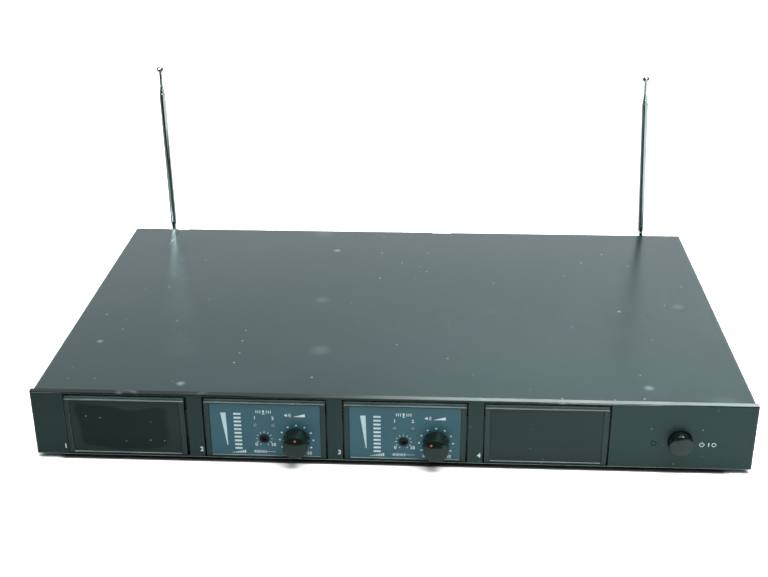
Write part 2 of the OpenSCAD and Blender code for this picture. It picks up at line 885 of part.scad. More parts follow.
module front_panel_screws() {
    color("darkgray")
        for (x = pillar_x)
            at_case(x, panel_screw_z)
                translate([0, cover_front_y + sheet, 0])
                    rotate([-90, 0, 0])
                        pan_screw(panel_screw_in + sheet);
}

// The two ears beside a plate, wider by gap on every side for the place that takes them
module ear_outline(gap) {
    translate([0, sill_h + window_h / 2])
        square([plate_w + 2 * (ear_w + gap), ear_h + 2 * gap], center = true);
}

// Moulded plate: a raised frame round the place for its sheet, and a set-back band over it
module plate_body() {
    difference() {
        union() {
            stand(band_y, cover_front_y - band_y)
                translate([-plate_w / 2, plate_low_z])
                    square([plate_w, plate_h]);
            stand(rim_y, cover_front_y - rim_y)
                translate([-plate_w / 2, plate_low_z])
                    square([plate_w, frame_h]);
            stand(cover_front_y - ear_t, ear_t)
                ear_outline(0);
        }
        stand(rim_y - cut, field_recess + overlay_t + cut)
            field_outline(0);
    }
}

module field_outline(gap) {
    translate([0, field_low_z + field_h / 2])
        round_rect(field_w - 2 * gap, field_h - 2 * gap, field_r);
}

module overlay_body() {
    stand(field_y, overlay_t)
        field_outline(overlay_gap);
}

module blank_plate(bay) {
    color("darkslategray")
        at_case(plate_x(bay), 0)
            plate_body();
}

module blank_overlay(bay) {
    color("black")
        at_case(plate_x(bay), 0)
            overlay_body();
}

// Everything that passes through a module's plate and sheet
module module_cuts() {
    depth = cover_front_y - rim_y + 2 * cut;
    for (z = bar_zs())
        translate([bar_x, 0, z])
            stand(rim_y - cut, depth)
                round_rect(bar_w + 2 * light_gap, bar_h + 2 * light_gap, bar_corner_r + light_gap);
    for (x = mic_xs())
        translate([x, 0, mic_z])
            rod_y(mic_r + light_gap, rim_y - cut, depth);
    translate([squelch_x, 0, squelch_z])
        rod_y(rotor_r + light_gap, rim_y - cut, depth);
    translate([volume_x, 0, volume_z])
        rod_y(bush_r + light_gap, rim_y - cut, depth);
}

function bar_zs() = [for (k = [0 : bar_count - 1]) bar_low_z + k * bar_pitch];
function mic_xs() = [mic_x - mic_spread / 2, mic_x + mic_spread / 2];

module module_plate(bay) {
    color("darkslategray")
        at_case(plate_x(bay), 0)
            difference() {
                plate_body();
                module_cuts();
            }
}

module module_overlay(bay) {
    color("cadetblue")
        at_case(plate_x(bay), 0)
            difference() {
                overlay_body();
                module_cuts();
            }
}

// Lights

module level_leds(bay) {
    color("ivory")
        at_case(bay_x(bay), 0)
            for (z = bar_zs())
                translate([bar_x, 0, z])
                    stand(field_y - light_proud, board_y - field_y + light_proud)
                        round_rect(bar_w, bar_h, bar_corner_r);
}

module mic_leds(bay) {
    lens_y = field_y - light_proud;
    color("lightsteelblue")
        at_case(bay_x(bay), mic_z)
            for (x = mic_xs())
                translate([x, lens_y, 0])
                    mirror([0, 1, 0])
                        translate([0, lens_y - board_y, 0])
                            turn()
                                eased_disc(mic_r, board_y - lens_y, mic_edge_r);
}

module power_led() {
    lens_back_y = front_y - light_proud + lens_len;
    color("darkred")
        at_case(light_x, light_z) {
            translate([0, lens_back_y, 0])
                mirror([0, 1, 0])
                    turn()
                        eased_disc(light_r, lens_len, light_edge_r);
            for (s = [-1, 1])
                translate([s * light_r / 2, 0, 0])
                    stand(lens_back_y, switch_y + switch_d - lens_back_y)
                        square(lead_side, center = true);
        }
}

// Volume control

module d_outline(r) {
    difference() {
        circle(r);
        translate([-r, r - shaft_flat])
            square([2 * r, 2 * r]);
    }
}

module volume_pots() {
    pot_y = cover_front_y + pot_gap;
    pot_d = board_y - pot_y;
    color("gray")
        for (bay = [2, 3])
            at_case(bay_x(bay) + volume_x, volume_z)
                difference() {
                    union() {
                        rod_y(pot_r, pot_y, pot_d);
                        rod_y(bush_r, field_y - bush_proud, pot_y - field_y + bush_proud + cut);
                    }
                    rod_y(shaft_r + fit_gap, field_y - bush_proud - cut, board_y - field_y + cut);
                }
}

// Shaft with a flat at its knob end; the flat faces away from the pointer
module volume_shaft(bay, pointer) {
    shaft_y = knob_back_y - socket_len + fit_gap;
    shaft_end_y = board_y - shaft_end_gap;
    color("silver")
        at_case(bay_x(bay) + volume_x, volume_z)
            rotate([0, pointer, 0]) {
                stand(shaft_y, flat_end_y - shaft_y)
                    rotate(180)
                        d_outline(shaft_r);
                rod_y(shaft_r, flat_end_y, shaft_end_y - flat_end_y);
            }
}

// Tapered knob with a domed front, hollow at the back round a socket for the shaft
module volume_knob(bay, pointer) {
    side_len = knob_len - knob_dome_h;
    boss_r = shaft_r + knob_wall;
    color("black")
        at_case(bay_x(bay) + volume_x, volume_z)
            rotate([0, pointer, 0])
                difference() {
                    translate([0, knob_back_y, 0])
                        mirror([0, 1, 0])
                            turn()
                                difference() {
                                    intersection() {
                                        polygon([
                                            [0, 0], [knob_base_r, 0], [knob_base_r, knob_foot],
                                            [knob_front_r, side_len], [knob_front_r, knob_len],
                                            [0, knob_len]
                                        ]);
                                        translate([0, knob_len - knob_dome_r])
                                            circle(knob_dome_r, $fn = 180);
                                    }
                                    translate([boss_r, -cut])
                                        square([knob_base_r - knob_wall - boss_r, knob_hollow + cut]);
                                    translate([0, -cut])
                                        square([bush_r + 2 * fit_gap, bush_proud + cut]);
                                }
                    stand(knob_back_y - socket_len, socket_len + cut)
                        rotate(180)
                            d_outline(shaft_r + fit_gap);
                    rod_y(shaft_r + fit_gap, flat_end_y - fit_gap, bush_proud + cut);
                }
}

// Squelch control

module squelch_pots() {
    color("royalblue")
        for (bay = [2, 3])
            at_case(bay_x(bay) + squelch_x, squelch_z)
                difference() {
                    stand(trimmer_y, board_y - trimmer_y)
                        round_rect(trimmer_side, trimmer_side, trimmer_corner_r);
                    rod_y(rotor_pivot_r + fit_gap, trimmer_y - cut, board_y - trimmer_y + 2 * cut);
                }
}

module squelch_rotor(bay, angle) {
    color("black")
        at_case(bay_x(bay) + squelch_x, squelch_z)
            rotate([0, angle, 0])
                difference() {
                    union() {
                        translate([0, rotor_front_y + rotor_head, 0])
                            mirror([0, 1, 0])
                                turn()
                                    eased_disc(rotor_r, rotor_head, rotor_edge_r);
                        rod_y(rotor_pivot_r, rotor_front_y + rotor_head - cut, board_y - trimmer_y + cut);
                    }
                    rod_y(rotor_socket_r, rotor_front_y - cut, rotor_socket_d + cut);
                    translate([-slot_w / 2, rotor_front_y, -rotor_socket_r])
                        cube([slot_w, rotor_socket_d + slot_d, 2 * rotor_socket_r]);
                }
}

// Power button

// Round button with a domed front and a square stem that runs into the switch
module power_button() {
    cap_len = button_back_y - front_y + button_proud;
    color("black")
        at_case(button_x, button_z) {
            translate([0, button_back_y, 0])
                mirror([0, 1, 0])
                    turn()
                        intersection() {
                            square([button_r, cap_len]);
                            translate([0, cap_len - button_dome_r])
                                circle(button_dome_r, $fn = 180);
                        }
            stand(button_back_y, stem_end_y - button_back_y)
                square(stem_side, center = true);
        }
}

module power_switch() {
    throat = stem_side + 4 * fit_gap;
    color("dimgray")
        at_case(button_x, button_z)
            difference() {
                stand(switch_y, switch_d)
                    round_rect(switch_w, switch_h, switch_corner_r);
                stand(switch_y - cut, stem_end_y + button_travel + stem_room - switch_y + cut)
                    square(throat, center = true);
            }
}

module switch_board() {
    color("darkgreen")
        at_case(button_x - light_from_button / 2, button_z)
            stand(switch_y + switch_d, board_t)
                round_rect(switch_board_w, switch_board_h, board_corner_r);
}

// Boards

module spacer_spots() {
    module_ys = [module_y + 2 * spacer_in, module_y + module_d - spacer_in];
    for (bay = [2, 3], sx = [-1, 1], y = module_ys)
        translate([bay_x(bay) + sx * (module_w / 2 - spacer_in), y, 0])
            children();
    main_ys = [main_y + spacer_in, main_y + main_d - spacer_in];
    for (sx = [-1, 1], y = main_ys)
        translate([sx * (main_w / 2 - spacer_in), y, 0])
            children();
}

module spacer_holes() {
    spacer_spots()
        translate([0, 0, bottom_z + board_z - cut])
            cylinder(r = spacer_pin_r + fit_gap, h = board_t + 2 * cut);
}

module board_spacers() {
    color("white")
        spacer_spots()
            translate([0, 0, bottom_z + sheet]) {
                cylinder(r = spacer_r, h = spacer_h);
                cylinder(r = spacer_pin_r, h = spacer_h + board_t + spacer_catch);
                translate([0, 0, spacer_h + board_t])
                    cylinder(r1 = spacer_pin_r + catch_lap, r2 = spacer_pin_r, h = spacer_catch);
            }
}

module display_boards() {
    color("darkgreen")
        for (bay = [2, 3])
            at_case(bay_x(bay), upright_low_z + upright_h / 2)
                stand(board_y, board_t)
                    round_rect(module_w, upright_h, board_corner_r);
}

module module_boards() {
    color("darkgreen")
        difference() {
            for (bay = [2, 3])
                translate([bay_x(bay) - module_w / 2, module_y, bottom_z + board_z])
                    cube([module_w, module_d, board_t]);
            spacer_holes();
        }
}

module main_board() {
    color("darkgreen")
        difference() {
            translate([-main_w / 2, main_y, bottom_z + board_z])
                cube([main_w, main_d, board_t]);
            spacer_holes();
        }
}

module shield_cans() {
    color("silver")
        for (bay = [2, 3])
            translate([bay_x(bay), module_y + module_d / 2, bottom_z + board_z + board_t])
                difference() {
                    linear_extrude(can_h)
                        round_rect(can_w, can_d, 2 * can_wall);
                    translate([0, 0, -cut])
                        linear_extrude(can_h - can_wall + cut)
                            round_rect(can_w - 2 * can_wall, can_d - 2 * can_wall, can_wall);
                    for (sx = [-1, 1], k = [-1 : 1])
                        translate([sx * can_w / 4, k * can_d / 4, 0])
                            cylinder(r = tuning_hole_r, h = can_h + cut);
                }
}

// Rear sockets

module dc_inlet() {
    mouth_y = rear_face_y + inlet_rim_t;
    color("black")
        at_case(inlet_x, socket_z) {
            difference() {
                union() {
                    rod_y(inlet_case_r, mouth_y - inlet_depth - socket_back, inlet_depth + socket_back);
                    translate([0, rear_face_y, 0])
                        turn()
                            eased_disc(inlet_rim_r, inlet_rim_t, socket_edge_r);
                }
                rod_y(inlet_bore_r, mouth_y - inlet_depth, inlet_depth + cut);
            }
            rod_y(inlet_pin_r, mouth_y - inlet_depth - cut, inlet_depth);
        }
}

module mix_jack() {
    in_len = jack_depth - jack_proud + socket_back;
    color("black")
        at_case(jack_x, socket_z)
            difference() {
                union() {
                    rod_y(jack_nose_r, rear_face_y - sheet - cut, jack_proud + sheet + cut);
                    stand(rear_face_y - in_len, in_len - sheet)
                        round_rect(jack_case_w, jack_case_h, jack_corner_r);
                }
                rod_y(jack_bore_r, rear_face_y + jack_proud - jack_depth, jack_depth + cut);
            }
}

module jack_nut() {
    color("silver")
        at_case(jack_x, socket_z)
            difference() {
                union() {
                    rod_y(nut_w / 2, rear_face_y, washer_t);
                    translate([0, rear_face_y + washer_t, 0])
                        rotate([-90, 0, 0])
                            cylinder(d = nut_w, h = nut_t, $fn = 6);
                }
                rod_y(jack_nose_r + fit_gap, rear_face_y - cut, nut_t + washer_t + 2 * cut);
            }
}

module xlr_socket() {
    floor_y = rear_face_y + xlr_t - xlr_depth;
    color("darkslategray")
        at_case(xlr_x, socket_z)
            difference() {
                union() {
                    rod_y(xlr_case_r, floor_y - socket_back, xlr_depth + socket_back);
                    stand(rear_face_y, xlr_t)
                        round_rect(xlr_w, xlr_h, xlr_corner_r);
                }
                rod_y(xlr_bore_r, floor_y, xlr_depth + cut);
                xlr_pin_spots()
                    rod_y(xlr_pin_r + fit_gap, -socket_back - cut, socket_back + 2 * cut);
                for (s = [-1, 1])
                    translate([s * xlr_screw_x, 0, -s * xlr_screw_z])
                        rod_y(hole_r, rear_face_y - cut, xlr_t + 2 * cut);
            }
}

// Places of the three pins on the floor of the round space
module xlr_pin_spots() {
    for (angle = [0, 180, 270])
        rotate([0, -angle, 0])
            translate([xlr_pin_at, rear_face_y + xlr_t - xlr_depth, 0])
                children();
}

module xlr_pins() {
    color("gold")
        at_case(xlr_x, socket_z)
            xlr_pin_spots()
                translate([0, -xlr_pin_tail, 0])
                    turn()
                        eased_disc(xlr_pin_r, xlr_pin_len + xlr_pin_tail, xlr_pin_edge_r);
}

module xlr_screws() {
    color("darkgray")
        for (s = [-1, 1])
            at_case(xlr_x + s * xlr_screw_x, socket_z - s * xlr_screw_z)
                translate([0, rear_face_y + xlr_t, 0])
                    rotate([-90, 0, 0])
                        pan_screw(screw_len);
}

// Antennas. A side is -1 for the left and 1 for the right.

// Moves to the hinge of one antenna and leans with its swivel
module at_hinge(side) {
    translate([side * antenna_x, hinge_y, bottom_z + hinge_z])
        rotate([0, side > 0 ? -right_lean : -left_lean, 0])
            children();
}

// Moves to the hinge and leans with the antenna itself
module along_antenna(side) {
    at_hinge(side)
        rotate([side > 0 ? right_tip : -left_tip, 0, 0])
            children();
}

// Insulating bush through the rear panel, with a nut inside
module antenna_base(side) {
    color("black")
        at_case(side * antenna_x, hinge_z)
            difference() {
                union() {
                    translate([0, rear_face_y, 0])
                        turn()
                            eased_disc(base_r, base_t, socket_edge_r);
                    rod_y(base_neck_r, rear_face_y - neck_len, neck_len + cut);
                    translate([0, rear_face_y - sheet - base_nut_t, 0])
                        rotate([-90, 0, 0])
                            cylinder(r = base_nut_r, h = base_nut_t, $fn = 6);
                }
                rod_y(spindle_r + fit_gap, rear_face_y - neck_len - cut, neck_len + base_t + 2 * cut);
            }
}

// Fork that turns in the base: spindle, barrel and two ears with the hinge hole
module antenna_swivel(side) {
    barrel_at = barrel_y - hinge_y;
    ear_len = -barrel_at - barrel_len;
    ear_x = fork_gap / 2 + fork_ear_t / 2;
    color("silver")
        at_hinge(side)
            difference() {
                union() {
                    rod_y(spindle_r, barrel_at - spindle_len, spindle_len + cut);
                    rod_y(spindle_r + spindle_lap, barrel_at - spindle_len - spindle_lap, spindle_lap);
                    translate([0, barrel_at, 0])
                        turn()
                            eased_disc(barrel_r, barrel_len, barrel_edge_r);
                    for (s = [-1, 1])
                        translate([s * ear_x, 0, 0]) {
                            rotate([0, 90, 0])
                                cylinder(r = fork_ear_r, h = fork_ear_t, center = true);
                            translate([-fork_ear_t / 2, -ear_len - cut, -fork_ear_r])
                                cube([fork_ear_t, ear_len + cut, 2 * fork_ear_r]);
                        }
                }
                rotate([0, 90, 0])
                    cylinder(r = pin_r + fit_gap / 2, h = 4 * barrel_r, center = true);
            }
}

module antenna_pin(side) {
    half = fork_gap / 2 + fork_ear_t;
    color("silver")
        at_hinge(side)
            rotate([0, 90, 0]) {
                cylinder(r = pin_r, h = 2 * half, center = true);
                for (s = [0, 1])
                    mirror([0, 0, s])
                        translate([0, 0, half])
                            rotate_extrude()
                                eased_disc(pin_head_r, pin_head_h, pin_edge_r);
            }
}

// Root of the antenna: a flat tongue on the pin, a collar and a plug in the outer tube
module antenna_root(side) {
    color("silver")
        along_antenna(side)
            difference() {
                union() {
                    rotate([0, 90, 0])
                        cylinder(r = tongue_r, h = tongue_t, center = true);
                    translate([-tongue_t / 2, -tube_r, 0])
                        cube([tongue_t, 2 * tube_r, root_len - collar_h / 2]);
                    translate([0, 0, root_len - collar_h])
                        cylinder(r = tube_r, h = collar_h);
                    translate([0, 0, root_len - collar_h])
                        cylinder(r = bore_r(0) - fit_gap / 2, h = collar_h + plug_len);
                }
                rotate([0, 90, 0])
                    cylinder(r = pin_r + fit_gap, h = 2 * tongue_t, center = true);
            }
}

// Half outline of a tube with its top end rolled in
module tube_outline(n, low, top) {
    difference() {
        translate([0, low])
            eased_disc(sleeve_r(n), top - low, tube_wall);
        translate([0, low - cut])
            square([bore_r(n), top - lip_len - low + cut]);
        translate([0, low - cut])
            square([lip_r(n), top - low + 2 * cut]);
    }
}

module antenna_tube(side) {
    color("silver")
        along_antenna(side)
            rotate_extrude()
                tube_outline(0, root_len, tube_top(0));
}

// Sliding tube n, with a wider foot that runs in the bore of the tube outside it
module antenna_slide(side, n) {
    color("silver")
        along_antenna(side)
            rotate_extrude()
                union() {
                    tube_outline(n, slide_low(n), tube_top(n));
                    translate([bore_r(n), slide_low(n)])
                        square([slide_foot_r(n) - bore_r(n), foot_len]);
                }
}

// Thin rod with its foot and the cap that it is pulled by
module antenna_tip(side) {
    rod_r = sleeve_r(3);
    color("silver")
        along_antenna(side)
            rotate_extrude() {
                translate([0, rod_low])
                    square([rod_r, cap_low + cap_slope_h - rod_low]);
                translate([0, rod_low])
                    square([slide_foot_r(3), foot_len]);
                polygon([
                    [0, cap_low], [rod_r + cap_lap, cap_low],
                    [cap_r, cap_low + cap_slope_h], [0, cap_low + cap_slope_h]
                ]);
                translate([0, cap_low + cap_slope_h])
                    eased_disc(cap_r, cap_h - cap_slope_h, cap_edge_r);
            }
}

chassis_tray();
rear_panel();
top_cover();
front_panel();
rubber_feet();
foot_screws();
case_screws();
front_panel_screws();
blank_plate(1);  // blank_plate_1
blank_plate(4);  // blank_plate_4
module_plate(2);  // module_plate_2
module_plate(3);  // module_plate_3
blank_overlay(1);  // blank_overlay_1
blank_overlay(4);  // blank_overlay_4
module_overlay(2);  // module_overlay_2
module_overlay(3);  // module_overlay_3
display_boards();
module_boards();
shield_cans();
level_leds(2);  // level_leds_2
level_leds(3);  // level_leds_3
mic_leds(2);  // mic_leds_2
mic_leds(3);  // mic_leds_3
volume_pots();
squelch_pots();
power_switch();
switch_board();
power_led();
main_board();
board_spacers();
dc_inlet();
mix_jack();
jack_nut();
xlr_socket();
xlr_pins();
xlr_screws();
antenna_base(-1);  // antenna_base_left
antenna_base(1);  // antenna_base_right
volume_knob(2, pointer_2);  // volume_knob_2
volume_knob(3, pointer_3);  // volume_knob_3
volume_shaft(2, pointer_2);  // volume_shaft_2
volume_shaft(3, pointer_3);  // volume_shaft_3
squelch_rotor(2, slot_turn_2);  // squelch_rotor_2
squelch_rotor(3, slot_turn_3);  // squelch_rotor_3
power_button();
antenna_swivel(-1);  // antenna_swivel_left
antenna_swivel(1);  // antenna_swivel_right
antenna_pin(-1);  // antenna_pin_left
antenna_pin(1);  // antenna_pin_right
antenna_root(-1);  // antenna_root_left
antenna_root(1);  // antenna_root_right
antenna_tube(-1);  // antenna_tube_left
antenna_tube(1);  // antenna_tube_right
antenna_slide(-1, 1);  // antenna_second_left
antenna_slide(1, 1);  // antenna_second_right
antenna_slide(-1, 2);  // antenna_third_left
antenna_slide(1, 2);  // antenna_third_right
antenna_tip(-1);  // antenna_tip_left
antenna_tip(1);  // antenna_tip_right
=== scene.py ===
import json
import math

import bmesh
import bpy
from mathutils import Matrix, Vector


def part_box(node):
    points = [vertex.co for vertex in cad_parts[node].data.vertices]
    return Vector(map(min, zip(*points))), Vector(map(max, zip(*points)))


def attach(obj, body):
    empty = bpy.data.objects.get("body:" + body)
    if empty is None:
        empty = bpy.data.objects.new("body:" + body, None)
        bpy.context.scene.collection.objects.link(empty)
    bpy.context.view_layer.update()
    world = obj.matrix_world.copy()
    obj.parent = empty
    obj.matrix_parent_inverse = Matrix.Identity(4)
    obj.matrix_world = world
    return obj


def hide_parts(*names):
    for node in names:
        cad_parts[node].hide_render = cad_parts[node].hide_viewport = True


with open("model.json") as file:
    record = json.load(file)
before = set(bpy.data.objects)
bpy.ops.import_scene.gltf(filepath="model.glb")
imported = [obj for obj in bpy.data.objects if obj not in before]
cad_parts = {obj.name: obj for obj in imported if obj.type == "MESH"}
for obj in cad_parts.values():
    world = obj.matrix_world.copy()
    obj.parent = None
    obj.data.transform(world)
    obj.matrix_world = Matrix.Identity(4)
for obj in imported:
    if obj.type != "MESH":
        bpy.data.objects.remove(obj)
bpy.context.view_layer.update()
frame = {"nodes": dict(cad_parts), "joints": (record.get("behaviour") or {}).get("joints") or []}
nodes = frame["nodes"]
scene = bpy.context.scene
scene.view_settings.view_transform = "Standard"


# Camera: stands in front of the unit and looks down on it, a little from the right,
# with the lens and place worked out from the edges of the case.
camera_at = Vector((0.02998, -0.74902, 0.39919))
pitch = 0.430212
yaw = -0.053439
roll = -0.0053865
ahead = Vector((math.sin(yaw) * math.cos(pitch), math.cos(yaw) * math.cos(pitch), -math.sin(pitch)))
right = Vector((math.cos(yaw), -math.sin(yaw), 0))
up = right.cross(ahead)
rolled_right = math.cos(roll) * right + math.sin(roll) * up
rolled_up = math.cos(roll) * up - math.sin(roll) * right
lens = bpy.data.cameras.new("camera")
lens.lens = 55.62
lens.sensor_width = 36
lens.sensor_fit = "HORIZONTAL"
lens.clip_start = 0.01
camera = bpy.data.objects.new("camera", lens)
turn = Matrix((rolled_right, rolled_up, -ahead)).transposed().to_4x4()
camera.matrix_world = Matrix.Translation(camera_at) @ turn
scene.collection.objects.link(camera)
scene.camera = camera


# Studio: a sheet of white paper under a wide soft lamp, with a bright wall behind and a dark
# room in front. The paper ends a hand's width in front of the unit, which the knobs reflect.
# A long tube behind draws the bright line along the front panel's top edge.
def feed(tree, target, value):
    """Wires a socket into an input, or sets the input to a plain value."""
    if isinstance(value, bpy.types.NodeSocket):
        tree.links.new(value, target)
    else:
        target.default_value = value


def shader_node(tree, kind, values=None, **settings):
    """A new node; each of its values is a plain one or another node's socket."""
    made = tree.nodes.new(kind)
    for key, value in settings.items():
        setattr(made, key, value)
    for key, value in (values or {}).items():
        feed(tree, made.inputs[key], value)
    return made


def bare_tree(owner):
    owner.use_nodes = True
    owner.node_tree.nodes.clear()
    return owner.node_tree


def place_on(tree):
    """Where a point of the surface lies, in metres."""
    return shader_node(tree, "ShaderNodeTexCoord").outputs["Object"]


def axes(tree, vector):
    """The X, Y and Z of a vector, by name."""
    return shader_node(tree, "ShaderNodeSeparateXYZ", {0: vector}).outputs


def maths(tree, operation, *values):
    return shader_node(tree, "ShaderNodeMath", dict(enumerate(values)), operation=operation).outputs[0]


def vector_maths(tree, operation, *values):
    made = shader_node(tree, "ShaderNodeVectorMath", dict(enumerate(values)), operation=operation)
    return made.outputs["Value" if operation == "LENGTH" else "Vector"]


def product(tree, *factors):
    """All factors multiplied."""
    result = factors[0]
    for factor in factors[1:]:
        result = maths(tree, "MULTIPLY", result, factor)
    return result


def ramp(tree, value, start, end, low, high, kind="SMOOTHSTEP"):
    """A step of value, from low at start to high at end, smooth or of another kind."""
    span = {"Value": value, "From Min": start, "From Max": end, "To Min": low, "To Max": high}
    return shader_node(tree, "ShaderNodeMapRange", span, interpolation_type=kind).outputs[0]


def blend_value(tree, first, second, mask):
    return shader_node(tree, "ShaderNodeMix", {0: mask, 2: first, 3: second}).outputs[0]


def blend_colour(tree, first, second, mask):
    """Two colours mixed by a mask; a colour is a socket or three numbers."""
    pair = [c if isinstance(c, bpy.types.NodeSocket) else (*c, 1) for c in (first, second)]
    made = shader_node(tree, "ShaderNodeMix", {0: mask, 6: pair[0], 7: pair[1]}, data_type="RGBA")
    return made.outputs[2]


# The room: shiny surfaces see its walls, and matt ones have a soft fill from above. Each step is
# start, end, low and high along a direction.
wall_light = 1.35
soft_fill = 0.85
camera_white = 1.0
front_dark = (-0.15, 0.2, 0.025, 1.0)
ceiling_dim = (0.36, 0.60, 1.0, 0.25)
wall_slope = (-0.45, 0.45, 0.86, 1.14)
right_corner = (0.45, 0.70, 1.0, 0.08)
left_corner = (-0.85, -0.55, 0.45, 1.0)
fill_above = (0.5, 0.85, 0.0, 1.0)
world = bpy.data.worlds.new("studio_room")
scene.world = world
tree = bare_tree(world)
toward = axes(tree, shader_node(tree, "ShaderNodeTexCoord").outputs["Generated"])
room = product(tree,
               ramp(tree, toward["Y"], *front_dark),
               ramp(tree, toward["Z"], *ceiling_dim),
               ramp(tree, toward["X"], *wall_slope),
               ramp(tree, toward["X"], *right_corner),
               ramp(tree, toward["X"], *left_corner),
               wall_light)
overhead = product(tree, ramp(tree, toward["Z"], *fill_above), soft_fill)
ray = shader_node(tree, "ShaderNodeLightPath").outputs
strength = blend_value(tree, overhead, room, ray["Is Glossy Ray"])
strength = blend_value(tree, strength, camera_white, ray["Is Camera Ray"])
strength = blend_value(tree, strength, camera_white, ray["Is Transmission Ray"])
sky = shader_node(tree, "ShaderNodeBackground", {"Color": (1, 1, 1, 1), "Strength": strength})
shader_node(tree, "ShaderNodeOutputWorld", {"Surface": sky.outputs[0]})

# The paper: shiny surfaces see its slanted front edge, and the camera sees it pale all over,
# but for a painted shadow on the strip under the case.
table_size = 6.0
paper_front = -0.246
front_fade = 0.01
paper_slant = 3.0
slant_from = 0.10
paper_right = 0.80
right_fade = 0.05
shade_from = -0.30
shade_to = 0.25
paper_shade = 0.42
bare_table = (0.03, 0.03, 0.03)
paper_mirrored = (0.86, 0.88, 0.88)
paper_lit = (0.80, 0.81, 0.81)
painted_shadow_tone = (0.3, 0.3, 0.3)
paper_seen = 2.0
paper_far = 3.6
far_from = 1.4
far_to = 3.0
soft_edge = 0.0006
end_clear = 0.014
end_fade = 0.004
table_corners = ((-1, -1), (1, -1), (1, 1), (-1, 1))
table_mesh = bpy.data.meshes.new("table")
table_mesh.from_pydata(
    [(x * table_size, y * table_size, 0) for x, y in table_corners], [], [(0, 1, 2, 3)])
table = bpy.data.objects.new("table", table_mesh)
scene.collection.objects.link(table)
table_paper = bpy.data.materials.new("table_paper")
tree = bare_tree(table_paper)
place = place_on(tree)
at = axes(tree, place)
slanted = ramp(tree, at["X"], slant_from, slant_from + 1, 0.0, paper_slant, kind="LINEAR")
from_edge = maths(tree, "ADD", at["Y"], slanted)
on_paper = product(tree,
                   ramp(tree, from_edge, paper_front - front_fade, paper_front, 0.0, 1.0),
                   ramp(tree, at["X"], paper_right, paper_right + right_fade, 1.0, 0.0),
                   ramp(tree, at["X"], shade_from, shade_to, paper_shade, 1.0))
low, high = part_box("front_panel")
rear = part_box("rear_panel")[1].y
shadow_left_end = low.x + end_clear
shadow_right_end = high.x - end_clear
# A painted shadow: the camera sees the paper dark under the case, from its front to its rear and short of
# its ends.
painted_shadow_under_case = product(tree,
                  ramp(tree, at["Y"], low.y - soft_edge, low.y + soft_edge, 0.0, 1.0),
                  ramp(tree, at["Y"], rear - soft_edge, rear + soft_edge, 1.0, 0.0),
                  ramp(tree, at["X"], shadow_left_end - end_fade, shadow_left_end + end_fade, 0.0, 1.0),
                  ramp(tree, at["X"], shadow_right_end - end_fade, shadow_right_end + end_fade, 1.0, 0.0))
ray = shader_node(tree, "ShaderNodeLightPath").outputs
mirrored = blend_colour(tree, bare_table, paper_mirrored, on_paper)
lit_tone = blend_colour(tree, paper_lit, mirrored, ray["Is Glossy Ray"])
away = vector_maths(tree, "LENGTH", place)
open_tone = ramp(tree, away, far_from, far_to, paper_seen, paper_far)
seen_tone = blend_colour(tree, open_tone, painted_shadow_tone, painted_shadow_under_case)
paper_tone = blend_colour(tree, lit_tone, seen_tone, ray["Is Camera Ray"])
paper = shader_node(tree, "ShaderNodeBsdfDiffuse", {"Color": paper_tone})
shader_node(tree, "ShaderNodeOutputMaterial", {"Surface": paper.outputs[0]})
table_mesh.materials.append(table_paper)


def soft_lamp(name, at, aim, size, watts, on_shiny=True, on_matt=True):
    """A flat lamp that the camera doesn't see; it may leave out shiny or matt reflections."""
    light = bpy.data.lights.new(name, "AREA")
    light.shape = "RECTANGLE"
    light.size, light.size_y = size
    light.energy = watts
    lamp = bpy.data.objects.new(name, light)
    lamp.location = at
    lamp.rotation_euler = (Vector(aim) - Vector(at)).to_track_quat("-Z", "Y").to_euler()
    lamp.visible_camera = False
    lamp.visible_glossy = on_shiny
    lamp.visible_diffuse = on_matt
    scene.collection.objects.link(lamp)
    return light


soft_lamp("top_lamp", at=(0.15, 0.0, 1.5), aim=(0, 0, 0), size=(1.6, 1.2), watts=22)
soft_lamp("side_lamp", at=(0.75, -0.60, 1.35), aim=(0.1, -0.13, 0.03), size=(0.5, 0.4), watts=6,
          on_shiny=False)
soft_lamp("front_lamp", at=(0.65, -1.5, 1.0), aim=(0.05, 0, 0.03), size=(1.2, 0.7), watts=2.6,
          on_matt=False)
soft_lamp("spark_lamp", at=(0.45, -1.1, 1.15), aim=(0.15, -0.15, 0.02), size=(0.30, 0.16), watts=13,
          on_matt=False)

# The left lamp is narrow: it brightens the left antenna, for the antenna's image in the cover.
left_beam = math.radians(40)
left_light = soft_lamp("left_lamp", at=(-0.45, -0.35, 0.32), aim=(-0.19, 0.14, 0.11),
                       size=(0.25, 0.14), watts=0.46, on_matt=False)
left_light.spread = left_beam
tube_fade = (0.36, 0.86, 1.0, 0.02)
tube = soft_lamp("rear_tube_lamp", at=(0.125, 1.580, 1.035), aim=(0.125, -0.134, 0.046),
                 size=(1.35, 0.018), watts=0.88)
tube.color = (0.88, 1.0, 0.97)
tube.use_nodes = True
tree = tube.node_tree
along = axes(tree, shader_node(tree, "ShaderNodeNewGeometry").outputs["Parametric"])
feed(tree, tree.nodes["Emission"].inputs["Strength"], ramp(tree, along["X"], *tube_fade))


# Steel case: a folded cover over a tray and a rear panel, all of 1 mm sheet, painted satin
# dark grey. Dust, pale round marks and faint stains have gathered on the cover.
def surface_group(name, inputs, output):
    """A node group with an input for each named value and one output. Gives back the group, its
    inputs as seen from inside, and the socket that takes the result."""
    group = bpy.data.node_groups.new(name, "ShaderNodeTree")
    for label, value in inputs.items():
        kind = "NodeSocketFloat" if isinstance(value, float) else "NodeSocketVector"
        group.interface.new_socket(label, in_out="INPUT", socket_type=kind).default_value = value
    group.interface.new_socket(output, in_out="OUTPUT", socket_type="NodeSocketFloat")
    given = group.nodes.new("NodeGroupInput").outputs
    result = group.nodes.new("NodeGroupOutput").inputs[output]
    return group, given, result


def place_group(tree, group, values):
    """The output of a group that is placed in a tree with its own values."""
    return shader_node(tree, "ShaderNodeGroup", values, node_tree=group).outputs[0]


